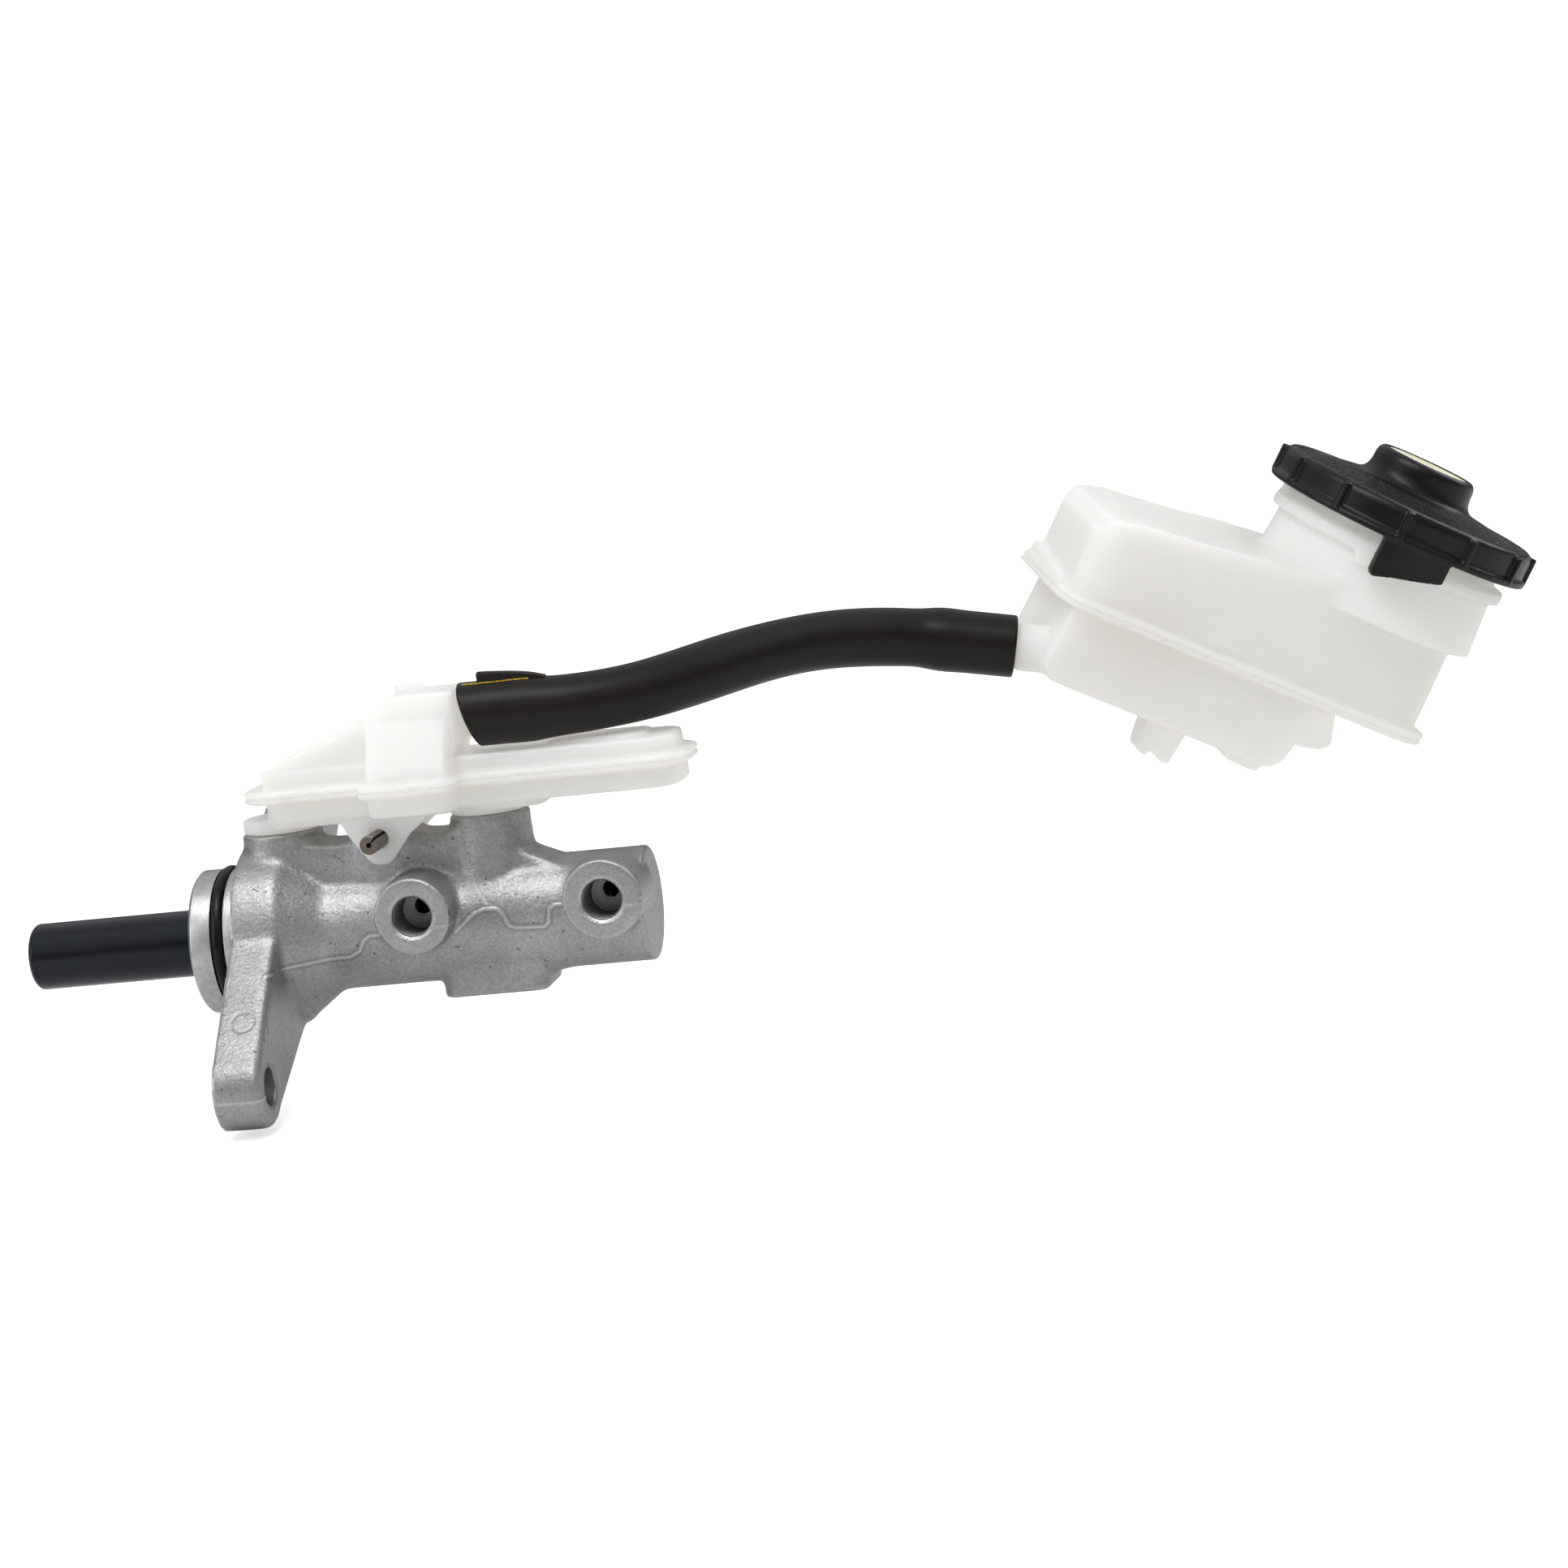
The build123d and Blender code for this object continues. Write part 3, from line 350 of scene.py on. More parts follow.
def mat_cast():
    m = Mat("cast_aluminium")
    mach = m.attr("machined")
    flash = m.attr("flash")
    edge = m.attr("edge")
    shade = m.attr("shade")
    thread = m.attr("thread")
    cloud = m.noise(60, 3, 0.5)
    base = m.ramp(cloud, [(0.3, (0.33, 0.332, 0.337)), (0.7, (0.44, 0.442, 0.446))])
    base = m.mix(m.math("MULTIPLY", shade, 0.75), base, (0.105, 0.10, 0.098))
    speck = m.noise(1300, 2, 0.6)
    base = m.mix(m.ramp(speck, [(0.42, 0.30), (0.60, 0.0)]), base, (0.17, 0.17, 0.175))
    pits = m.noise(620, 2, 0.55)
    pitm = m.ramp(pits, [(0.69, 0.0), (0.74, 1.0)])
    base = m.mix(m.math("MULTIPLY", pitm, 0.8), base, (0.055, 0.055, 0.055))
    scuff = m.noise(170, 5, 0.7, dist=1.4)
    scm = m.ramp(scuff, [(0.655, 0.0), (0.70, 1.0)])
    base = m.mix(m.math("MULTIPLY", scm, 0.6), base, (0.085, 0.08, 0.078))
    # painted highlight: flash ridges and convex edges are lightened in the casting's base colour
    ridge_and_edge_highlight = m.math("MAXIMUM", flash, m.math("MULTIPLY", edge, 0.45))
    base = m.mix(ridge_and_edge_highlight, base, (0.66, 0.66, 0.66))
    base = m.mix(mach, base, m.ramp(m.noise(700, 3, 0.6), [(0.3, (0.40, 0.40, 0.395)), (0.7, (0.54, 0.54, 0.53))]))
    # painted shade: the threaded port bores are darkened in the base colour; the thread form itself is in the bump
    # below
    base = m.mix(thread, base, (0.26, 0.26, 0.255))
    m.set("Base Color", base)
    m.set("Metallic", m.math("ADD", 0.84, m.math("MULTIPLY", mach, 0.13)))
    r = m.math("ADD", 0.40, m.math("MULTIPLY", cloud, 0.08))
    r = m.math("SUBTRACT", r, m.math("MULTIPLY", mach, 0.05))
    m.set("Roughness", r)
    grain = m.noise(1150, 3, 0.6)
    g2 = m.noise(480, 3, 0.55)
    h = m.math("ADD", m.math("MULTIPLY", grain, 1.0), m.math("MULTIPLY", g2, 0.8))
    h = m.math("SUBTRACT", h, m.math("MULTIPLY", pitm, 0.45))
    inv = m.math("SUBTRACT", 1.0, mach)
    h = m.math("MULTIPLY", h, inv)
    # turning lines on the machined lands, thread form in the ports
    sep = m.n("ShaderNodeSeparateXYZ")
    m.l(m.pos, sep.inputs[0])
    wave = m.math("SINE", m.math("MULTIPLY", sep.outputs[0], 19000.0))
    wv = m.math("MULTIPLY", m.math("MULTIPLY", m.math("ADD", wave, m.math("MULTIPLY", m.noise(900, 3), 1.6)), 0.10), mach)
    tw = m.math("MULTIPLY", m.math("SINE", m.math("MULTIPLY", sep.outputs[1], 2 * math.pi * 1000.0)), m.math("MULTIPLY", thread, 1.5))
    nrm = m.bump(m.math("ADD", m.math("ADD", h, wv), tw), 0.75, 0.20)
    m.set("Normal", nrm)
    return m


def mat_metal(name, col, rough, lines=0.0, aniso=0.0, metallic=1.0, scale=600):
    m = Mat(name)
    n1 = m.noise(scale, 3, 0.6)
    c = m.ramp(n1, [(0.3, tuple(x * 0.82 for x in col)), (0.7, tuple(min(1, x * 1.12) for x in col))])
    m.set("Base Color", c)
    m.set("Metallic", metallic)
    m.set("Roughness", m.math("ADD", rough, m.math("MULTIPLY", m.noise(scale * 0.3, 3), 0.14)))
    sep = m.n("ShaderNodeSeparateXYZ")
    m.l(m.pos, sep.inputs[0])
    wave = m.math("SINE", m.math("MULTIPLY", sep.outputs[0], 22000.0))
    m.set("Normal", m.bump(m.math("ADD", m.math("MULTIPLY", wave, lines), m.math("MULTIPLY", n1, 0.3)), 0.25, 0.06))
    return m


def mat_anodised():
    m = Mat("black_anodised")
    n1 = m.noise(90, 3, 0.5)
    streak = m.n("ShaderNodeMapping")
    streak.inputs["Scale"].default_value = (0.06, 1, 1)
    m.l(m.pos, streak.inputs["Vector"])
    s = m.noise(900, 3, 0.6, vec=streak.outputs[0])
    m.set("Base Color", m.ramp(s, [(0.3, (0.003, 0.0034, 0.0045)), (0.75, (0.008, 0.0092, 0.0125))]))
    m.set("Metallic", 0.0)
    m.set("Specular IOR Level", 0.30)
    m.set("Specular Tint", (0.76, 0.86, 1.0))
    m.set("Roughness", m.math("ADD", 0.20, m.math("MULTIPLY", n1, 0.10)))
    m.set("Normal", m.bump(s, 0.10, 0.05))
    return m


def mat_rubber(name, col, rough=0.5, grain=1.0, sheen=0.0):
    m = Mat(name)
    n1 = m.noise(70, 4, 0.55)
    m.set("Base Color", m.ramp(n1, [(0.25, tuple(c * 0.75 for c in col)), (0.75, tuple(c * 1.3 for c in col))]))
    m.set("Roughness", m.math("ADD", rough - 0.06, m.math("MULTIPLY", n1, 0.14)))
    m.set("Specular IOR Level", 0.20)
    g = m.noise(1400, 3, 0.6)
    g2 = m.noise(180, 3, 0.6)
    m.set("Normal", m.bump(m.math("ADD", m.math("MULTIPLY", g, 0.4), m.math("MULTIPLY", g2, 0.7)), 0.25 * grain, 0.09))
    return m


def mat_milky(name="milky_plastic", tint=(0.93, 0.935, 0.93)):
    m = Mat(name)
    n1 = m.noise(26, 3, 0.5)
    base = m.ramp(n1, [(0.3, (tint[0] * 0.985, tint[1] * 0.98, tint[2] * 0.965)), (0.7, tint)])
    m.set("Base Color", base)
    m.set("Roughness", m.math("ADD", 0.28, m.math("MULTIPLY", m.noise(60, 3), 0.14)))
    m.set("Specular IOR Level", 0.4)
    m.set("Subsurface Weight", 0.85)
    m.b.inputs["Subsurface Radius"].default_value = (0.014, 0.0125, 0.0105)
    m.b.inputs["Subsurface Scale"].default_value = 1.0
    # painted glow: emission lights the milky walls, painted cooler on upward faces and warmer below
    sep = m.n("ShaderNodeSeparateXYZ")
    m.l(m.geo.outputs["Normal"], sep.inputs[0])
    up = m.math("MULTIPLY_ADD", sep.outputs[2], 0.5, 0.5, clamp=True)
    m.set("Emission Color", m.ramp(up, [(0.2, (0.93, 0.875, 0.80)), (0.75, (0.90, 0.94, 0.97))]))
    # painted glow strength, raised where the thin attribute is set
    m.set("Emission Strength", m.math("ADD", 0.108, m.math("MULTIPLY", m.attr("thin"), 0.10)))
    g = m.noise(700, 3, 0.6)
    g2 = m.noise(90, 2, 0.5)
    nrm = m.bump(m.math("ADD", m.math("MULTIPLY", g, 0.25), m.math("MULTIPLY", g2, 0.9)), 0.18, 0.12)
    m.set("Normal", nrm)
    tr = m.n("ShaderNodeBsdfTranslucent")
    tr.inputs["Color"].default_value = (0.97, 0.95, 0.91, 1)
    m.l(nrm, tr.inputs["Normal"])
    mx = m.n("ShaderNodeMixShader")
    mx.inputs[0].default_value = 0.38
    m.l(m.b.outputs[0], mx.inputs[1])
    m.l(tr.outputs[0], mx.inputs[2])
    m.l(mx.outputs[0], m.out.inputs["Surface"])
    return m


def mat_cap():
    m = Mat("cap_plastic")
    rec = m.attr("grained")
    n1 = m.noise(60, 3, 0.5)
    m.set("Base Color", m.ramp(n1, [(0.3, (0.0035, 0.0035, 0.0037)), (0.7, (0.0065, 0.0065, 0.0068))]))
    m.set("Roughness", m.math("SUBTRACT", 0.36, m.math("MULTIPLY", rec, 0.10)))
    m.set("Specular IOR Level", m.math("ADD", 0.26, m.math("MULTIPLY", rec, 0.22)))
    fine = m.noise(900, 2, 0.5)
    v = m.voronoi(520)
    co = m.noise(640, 3, 0.7)
    rough = m.math("ADD", m.math("MULTIPLY", m.math("SUBTRACT", 1.0, v), 1.1), m.math("MULTIPLY", co, 1.8))
    h = m.math("ADD", m.math("MULTIPLY", fine, 0.06), m.math("MULTIPLY", rough, m.math("MULTIPLY", rec, 5.5)))
    m.set("Normal", m.bump(h, 1.0, 0.6))
    return m


def mat_plain(name, col, rough=0.5, scale=200):
    m = Mat(name)
    n1 = m.noise(scale, 4, 0.55)
    m.set("Base Color", m.ramp(n1, [(0.3, tuple(c * 0.9 for c in col)), (0.7, tuple(min(1, c * 1.06) for c in col))]))
    m.set("Roughness", m.math("ADD", rough, m.math("MULTIPLY", n1, 0.1)))
    m.set("Normal", m.bump(m.noise(scale * 4, 3), 0.15, 0.05))
    return m


M_CAST = mat_cast()
M_STEEL = mat_metal("machined_steel", (0.50, 0.50, 0.50), 0.26, lines=0.25)
M_SPRING = mat_metal("spring_steel", (0.36, 0.36, 0.37), 0.30, scale=900)
M_ROLL = mat_metal("roll_pin_steel", (0.17, 0.145, 0.125), 0.33, metallic=0.85)
M_ANOD = mat_anodised()
M_SEAL = mat_rubber("seal_rubber", (0.005, 0.005, 0.0052), 0.30, grain=0.4)
M_HOSE = mat_rubber("hose_rubber", (0.0085, 0.0066, 0.0055), 0.40)
M_MILKY = mat_milky()
M_CAP = mat_cap()
M_GUIDE = mat_plain("guide_plastic", (0.035, 0.035, 0.04), 0.5)
M_MAGNET = mat_plain("magnet_ferrite", (0.05, 0.05, 0.055), 0.45)
M_LABEL = mat_plain("label_cream", (0.80, 0.77, 0.60), 0.42, scale=120)
M_FLOAT = mat_plain("float_plastic", (0.62, 0.42, 0.20), 0.6)
M_YELLOW = mat_plain("line_yellow", (0.55, 0.34, 0.02), 0.6, scale=900)
BY_SLOT = {
    "cast_aluminium": M_CAST, "machined_steel": M_STEEL, "black_anodised": M_ANOD, "seal_rubber": M_SEAL,
    "hose_rubber": M_HOSE, "milky_plastic": M_MILKY, "cap_plastic": M_CAP, "guide_plastic": M_GUIDE,
    "spring_steel": M_SPRING, "roll_pin_steel": M_ROLL, "magnet_ferrite": M_MAGNET, "label_cream": M_LABEL,
    "float_plastic": M_FLOAT,
}
SLOT = {s["node"]: s["material_slot"] for s in frame["record"]["subparts"]}

# every carried-over CAD node starts with its slot's material
for name, ob in frame["nodes"].items():
    use(ob, BY_SLOT[SLOT[name]])
    auto_smooth(ob)

# ------------------------------------------------------------------ cylinder body
V_BODY = 0.37
body = remeshed("cylinder_body", "body_casting", V_BODY)
co = get_co(body.data) / MM
ed = get_edges(body.data)
x, y, z = co.T
rad = np.hypot(y, z)
P1, P2, PZ, PY = 43.3, 88.0, 4.9, -21.0
d1 = np.hypot(x - P1, z - PZ)
d2 = np.hypot(x - P2, z - PZ)
hole = ((d1 < 5.7) | (d2 < 5.7)) & (y < -9.5)
spig = x < -0.25
face0 = np.abs(x) < 0.4
boreholes = (rad < 10.9) & (x < 93)
bossbore = (np.hypot(x - 9.5, y) < 7.2) & (z > 12) | (np.hypot(x - 59.7, y) < 7.2) & (z > 12)
sa, ca = math.sin(math.radians(34.5)), math.cos(math.radians(34.5))
EJECT = (5.8, -38.32, -12.93)
LY, LZ = -49 * ca, -49 * sa
bolt = (np.hypot(y - LY, z - LZ) < 5.4) | (np.hypot(y + LY, z + LZ) < 5.4)
boltface = ((np.hypot(y - LY, z - LZ) < 8.0) | (np.hypot(y + LY, z + LZ) < 8.0)) & (x > 10.2)
pinh = (np.hypot(x - 35.3, z - 22.2) < 2.9) & (np.abs(y) < 9)
keep = hole | spig | face0 | boreholes | bossbore | bolt | boltface | pinh
w = np.where(keep, 0.0, 1.0)
w = soften(np.repeat(w[:, None], 3, 1), ed, np.ones(len(w)), 3)[:, 0]
w[hole | spig | boreholes | bolt | pinh] = 0
# the port rims, boss tops and pad edges stay tighter than the rest of the casting
rim = (((d1 > 5.6) & (d1 < 10.2)) | ((d2 > 5.6) & (d2 < 10.4))) & (y < -18.2)
tight = rim | ((z > 23.4) & ((np.hypot(x - 9.5, y) < 10.5) | (np.hypot(x - 59.7, y) < 10.5))) | (x > 94.2) | (z < -15.6) & (x > 44) & (x < 72)
w = np.where(tight, np.minimum(w, 0.14), w)
w[boltface] = 0
co = soften(co, ed, w, 60, 0.6)
co = laplace(co, ed, np.where(hole | bolt | spig | pinh, 1.0, 0.4), 3)
set_co(body.data, co * MM)
nrm = get_normals(body.data)
x, y, z = co.T


def seg_dist(px, pz, pts):
    best = np.full(len(px), 1e9)
    for (ax, az), (bx, bz) in zip(pts[:-1], pts[1:]):
        dx, dz = bx - ax, bz - az
        t = np.clip(((px - ax) * dx + (pz - az) * dz) / (dx * dx + dz * dz + 1e-12), 0, 1)
        best = np.minimum(best, np.hypot(px - ax - t * dx, pz - az - t * dz))
    return best


FLASH = [
    [(9.5, -4.5), (15.0, -4.6), (25.5, -4.4), (28.0, -3.2), (29.5, -0.6), (31.0, 0.3), (34.6, 0.2)],
    [(51.6, -0.6), (53.5, 1.2), (56.2, 3.2), (58.5, 4.0), (61.5, 3.9), (63.3, 2.2), (64.3, -0.3), (66.0, -0.9), (72.6, -1.2),
     (73.6, -0.2), (74.0, 2.8), (75.6, 3.6), (79.0, 3.4)],
    [(97.3, 4.8), (96.0, 4.0), (95.2, 2.2)],
]
fd = np.full(len(x), 1e9)
for line in FLASH:
    fd = np.minimum(fd, seg_dist(x, z, line))
front = (nrm[:, 1] < -0.15) & (y < -4) & (d1 > 8.4) & (d2 > 8.8)
fl = np.where(front, np.exp(-(fd / 0.30) ** 2), 0)
dk = np.where(front, np.exp(-((fd - 0.62) / 0.34) ** 2), 0)
# parting line across the port faces and round their lower halves
# the line carries on along the lug's rounded edge, and shows on the port rims
dlug = y * ca + z * sa                       # distance along the lug line, negative on the port side
across = -y * sa + z * ca
lugedge = (dlug < -24) & (x > 0.8) & (x < 10.4) & (np.abs(across) > 6.5)
fl = np.maximum(fl, np.where((dlug < -50) & (x > 0.6) & (y < -45), np.exp(-((z + 29.1) / 0.28) ** 2), 0))
rimline = np.where(((d1 > 5.4) & (d1 < 9.4) & (x > P1)) & (y < -13), np.exp(-((z - (PZ - 2.6)) / 0.26) ** 2), 0)
rimline = np.maximum(rimline, np.where(((d2 > 5.4) & (d2 < 9.8) & (x > P2)) & (y < -13), np.exp(-((z - (PZ - 1.6)) / 0.26) ** 2), 0))
fl = np.maximum(fl, rimline * 0.7)
EJ = np.array(EJECT)
ej = np.where(np.abs(np.linalg.norm(co - EJ, axis=1) - 2.7) < 1.2, np.exp(-((np.linalg.norm(co - EJ, axis=1) - 2.7) / 0.26) ** 2), 0)
inside_ej = smoothstep(2.8, 2.4, np.linalg.norm(co - EJ, axis=1))
co2 = co + nrm * (fl * 0.20 - ej * 0.16 - inside_ej * 0.05)[:, None]
set_co(body.data, co2 * MM)
# painted highlight: the flash ridge stored here lightens the casting's base colour
attribute(body, "flash", fl * 0.6)
n = len(co)
deg = np.bincount(ed.ravel(), minlength=n).astype(float); deg[deg == 0] = 1
s = np.zeros_like(co)
for k in range(3):
    s[:, k] = np.bincount(ed[:, 0], co[ed[:, 1], k], n) + np.bincount(ed[:, 1], co[ed[:, 0], k], n)
lap = ((s / deg[:, None] - co) * nrm).sum(1) / V_BODY
curv = soften(np.repeat(lap[:, None], 3, 1), ed, np.ones(n), 3)[:, 0]
# painted highlight: convex edges stored here lighten the casting's base colour
attribute(body, "edge", np.clip(-curv * 9 - 0.35, 0, 1))
shd = np.clip(np.maximum(np.maximum(curv * 7, dk * 0.6), ej * 0.5), 0, 1)
shd[bolt & (x > 0.5)] = 1.0
attribute(body, "shade", shd)
# painted shade and thread form: marks the threaded port bores, darkened in colour and given a thread bump
attribute(body, "thread", np.where(((d1 < 5.0) | (d2 < 5.0)) & (y < -9.5) & (y > -20.4), 1.0, 0.0))
mach = np.where(spig | hole | boreholes | bossbore | face0, 1.0, 0.0)
mach[bolt & (x > 0.5)] = 0.25
mach = np.where(((d1 < 8.4) & (d1 > 5.4) | (d2 < 8.7) & (d2 > 5.4)) & (y < -20.5), 0.2, mach)
attribute(body, "machined", mach)
use(body, M_CAST)
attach(body, "unit")
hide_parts("cylinder_body")

# ------------------------------------------------------------------ spigot: crisp turned lands over the casting's front
spigot = lathe("spigot_land", round_profile([(-11.8, 13.05), (-11.8, 16.25), (-11.05, 17.0), (-6.4, 17.0), (-6.4, 14.8),
                                             (-3.2, 14.8), (-3.2, 17.0), (-0.05, 17.0), (-0.05, 13.05)], 0.12, 2), (0, 0, 0), (1, 0, 0), 160)
spigot.data.attributes.new("machined", "FLOAT", "POINT").data.foreach_set("value", np.ones(len(spigot.data.vertices), np.float32))
use(spigot, M_CAST)
auto_smooth(spigot, 30)
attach(spigot, "unit")

# ------------------------------------------------------------------ pilot seal ring
oring = lathe("pilot_seal_ring", [(-4.8 + 1.42 * math.cos(a), 16.26 + 1.42 * math.sin(a)) for a in np.linspace(0, 2 * math.pi, 24, endpoint=False)],
              (0, 0, 0), (1, 0, 0), 160)
use(oring, M_SEAL)
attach(oring, "unit")
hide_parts("pilot_o_ring")

# ------------------------------------------------------------------ primary piston stem and head
prof = [(-54.6, 5.1), (-54.6, 7.0), (-53.7, 7.9), (0.3, 7.9), (0.3, 10.28), (3.0, 10.28), (3.0, 7.4), (8.8, 7.4), (8.8, 10.28),
        (11.0, 10.28), (11.0, 6.2), (16.6, 6.2), (16.6, 5.0), (19.6, 5.0), (19.6, 2.6), (-5.0, 2.6), (-5.0, 0.0), (-25.5, 0.0)]
prof += [(-30.6 + 5.1 * math.sin(t), 5.1 * math.cos(t)) for t in np.linspace(math.pi / 2, 0, 8)]
piston = lathe("primary_piston_turned", round_profile(prof, 0.35, 3), (0, 0, 0), (1, 0, 0), 128)
use(piston, M_ANOD)
auto_smooth(piston, 40)
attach(piston, "primary")
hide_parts("primary_piston")

# ------------------------------------------------------------------ moulded plastic tanks
def plastic(node, name, voxel, iters, keepfn=None, lam=0.5):
    ob = remeshed(node, name, voxel)
    c = get_co(ob.data) / MM
    e = get_edges(ob.data)
    w = np.ones(len(c))
    if keepfn is not None:
        w = np.where(keepfn(c), 0.0, 1.0)
        w = soften(np.repeat(w[:, None], 3, 1), e, np.ones(len(w)), 2)[:, 0]
    c = soften(c, e, w, iters, lam)
    set_co(ob.data, c * MM)
    use(ob, M_MILKY)
    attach(ob, "unit")
    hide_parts(node)
    return ob


tank_lo = plastic("tank_lower_shell", "tank_lower_moulded", 0.34, 12)
tank_up = plastic("tank_upper_shell", "tank_upper_moulded", 0.34, 13)
res_lo = plastic("reservoir_lower_shell", "reservoir_lower_moulded", 0.38, 13)
res_up = plastic("reservoir_upper_shell", "reservoir_upper_moulded", 0.38, 15)

# ------------------------------------------------------------------ filler cap
cap = remeshed("filler_cap", "filler_cap_moulded", 0.32)
c = get_co(cap.data) / MM
e = get_edges(cap.data)
loc = to_res(c)
rr = np.hypot(loc[:, 0] - CAPX, loc[:, 1] - CAPY)
wc = np.where((rr > 32.2) & (loc[:, 2] < 52), 0.45, 1.0)
c = soften(c, e, wc, 7, 0.5)
set_co(cap.data, c * MM)
loc = to_res(c)
rr = np.hypot(loc[:, 0] - CAPX, loc[:, 1] - CAPY)
g = smoothstep(16.2, 16.9, rr) * smoothstep(29.6, 29.0, rr) * (loc[:, 2] > 50.4)
attribute(cap, "grained", g)
use(cap, M_CAP)
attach(cap, "cap")
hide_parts("filler_cap")

# plain cream disc on the knob
label = lathe("cap_label_disc", round_profile([(0.0, 0), (0.5, 0), (0.5, 10.35), (0.0, 10.35)], 0.15, 2), rpt(CAPX, CAPY, 60.65), RZ, 96)
use(label, M_LABEL)
auto_smooth(label, 40)
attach(label, "cap")
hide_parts("cap_label")

# ------------------------------------------------------------------ supply hose
hd = np.array([-0.9699894, -0.12590471, 0.20801097]); hd /= np.linalg.norm(hd)
root = rpt(4, 10, -15)
A0 = np.array([57.35, -6.0, 48.5]); A1 = np.array([74.6, -6.0, 48.5])
B0 = root + hd * 6.6; B1 = root + hd * 24.0
CTRL = [A1, np.array([96.8, 0.9, 49.1]), np.array([117.5, 17.2, 52.2]), np.array([138.6, 34.7, 53.5]), np.array([149.4, 41.5, 52.4]), B1]


def hose_centre(nper=26):
    """Straight cuffs joined by a smooth curve through the control points."""
    P = np.array(CTRL)
    d = np.linalg.norm(np.diff(P, axis=0), axis=1)
    T = np.zeros_like(P)
    T[0] = np.array([1.0, 0, 0]); T[-1] = -hd
    n = len(P)
    # natural cubic through the points with clamped ends
    t = np.concatenate([[0], np.cumsum(d)])
    A = np.zeros((n, n)); R = np.zeros((n, 3))
    A[0, 0] = A[-1, -1] = 1; R[0] = T[0]; R[-1] = T[-1]
    for i in range(1, n - 1):
        h0, h1 = d[i - 1], d[i]
        A[i, i - 1] = h1; A[i, i] = 2 * (h0 + h1); A[i, i + 1] = h0
        R[i] = 3 * (h1 / h0 * (P[i] - P[i - 1]) + h0 / h1 * (P[i + 1] - P[i]))
    M = np.linalg.solve(A, R)
    out = [A0 + (A1 - A0) * s for s in np.linspace(0, 1, 24, endpoint=False)]
    for i in range(n - 1):
        h = d[i]
        for s in np.linspace(0, 1, nper, endpoint=False):
            h00 = 2 * s**3 - 3 * s**2 + 1; h10 = s**3 - 2 * s**2 + s; h01 = -2 * s**3 + 3 * s**2; h11 = s**3 - s**2
            out.append(h00 * P[i] + h10 * h * M[i] + h01 * P[i + 1] + h11 * h * M[i + 1])
    out += [B1 + (B0 - B1) * s for s in np.linspace(0, 1, 24)]
    return np.array(out)


def tube(name, C, radii, inner, seg=72, wob=0.0, start_cut=0.0, up0=(0, 0, 1)):
    T = np.gradient(C, axis=0)
    T /= np.linalg.norm(T, axis=1)[:, None]
    U = np.zeros_like(C)
    u = np.array(up0, float); u -= T[0] * u.dot(T[0]); u /= np.linalg.norm(u)
    for i in range(len(C)):
        u = u - T[i] * u.dot(T[i]); u /= np.linalg.norm(u); U[i] = u
    V = np.cross(T, U)
    verts, faces = [], []
    n = len(C)
    rings = []
    # a small round at each end
    prof = []
    for i in range(n):
        prof.append((i, radii[i]))
    def ring(i, r, shift=0.0):
        idx = len(verts)
        for k in range(seg):
            a = 2 * math.pi * k / seg
            rr = r + wob * math.sin(3 * a + i * 0.11) * math.sin(i * 0.07)
            cut = start_cut * (1 - math.cos(a)) * max(0.0, 1 - i / 9)
            p = C[i] + T[i] * (shift + cut) + (U[i] * math.cos(a) + V[i] * math.sin(a)) * rr
            verts.append(p * MM)
        return idx
    seq = [ring(0, inner, 0.0), ring(0, inner + 0.15, 0.0), ring(0, radii[0] - 0.55, 0.0), ring(0, radii[0] - 0.16, 0.14), ring(0, radii[0], 0.5)]
    for i in range(1, n - 1):
        seq.append(ring(i, radii[i]))
    seq += [ring(n - 1, radii[-1], -0.5), ring(n - 1, radii[-1] - 0.16, -0.14), ring(n - 1, radii[-1] - 0.55, 0.0), ring(n - 1, inner + 0.15, 0.0), ring(n - 1, inner, 0.0)]
    for i in range(n - 2, 0, -4):
        seq.append(ring(i, inner))
    for a, b in zip(seq, seq[1:] + seq[:1]):
        for k in range(seg):
            l = (k + 1) % seg
            faces.append((a + k, a + l, b + l, b + k))
    ob = add_mesh(name, verts, faces)
    bm = bmesh.new(); bm.from_mesh(ob.data)
    bmesh.ops.recalc_face_normals(bm, faces=bm.faces)
    bm.to_mesh(ob.data); bm.free()
    return ob, T, U, V


HC = hose_centre()
HL = np.concatenate([[0], np.cumsum(np.linalg.norm(np.diff(HC, axis=0), axis=1))])
LT = HL[-1]
# full over the nipples, with soft swells where each nipple ends, and slimmer between
s = HL
rad_h = 6.95 + 0.0 * s
rad_h += 0.60 * smoothstep(22, 12, s) + 0.58 * smoothstep(LT - 24, LT - 14, s)
rad_h += 0.34 * np.exp(-((s - 18.0) / 4.2) ** 2) + 0.34 * np.exp(-((s - (LT - 19.0)) / 4.2) ** 2)
rad_h += 0.10 * np.sin(s * 0.13) * smoothstep(20, 30, s) * smoothstep(LT - 20, LT - 30, s)
hose, HT, HU, HV = tube("supply_hose_moulded", HC, rad_h, 5.3, start_cut=2.0)
use(hose, M_HOSE)
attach(hose, "unit")
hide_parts("supply_hose")

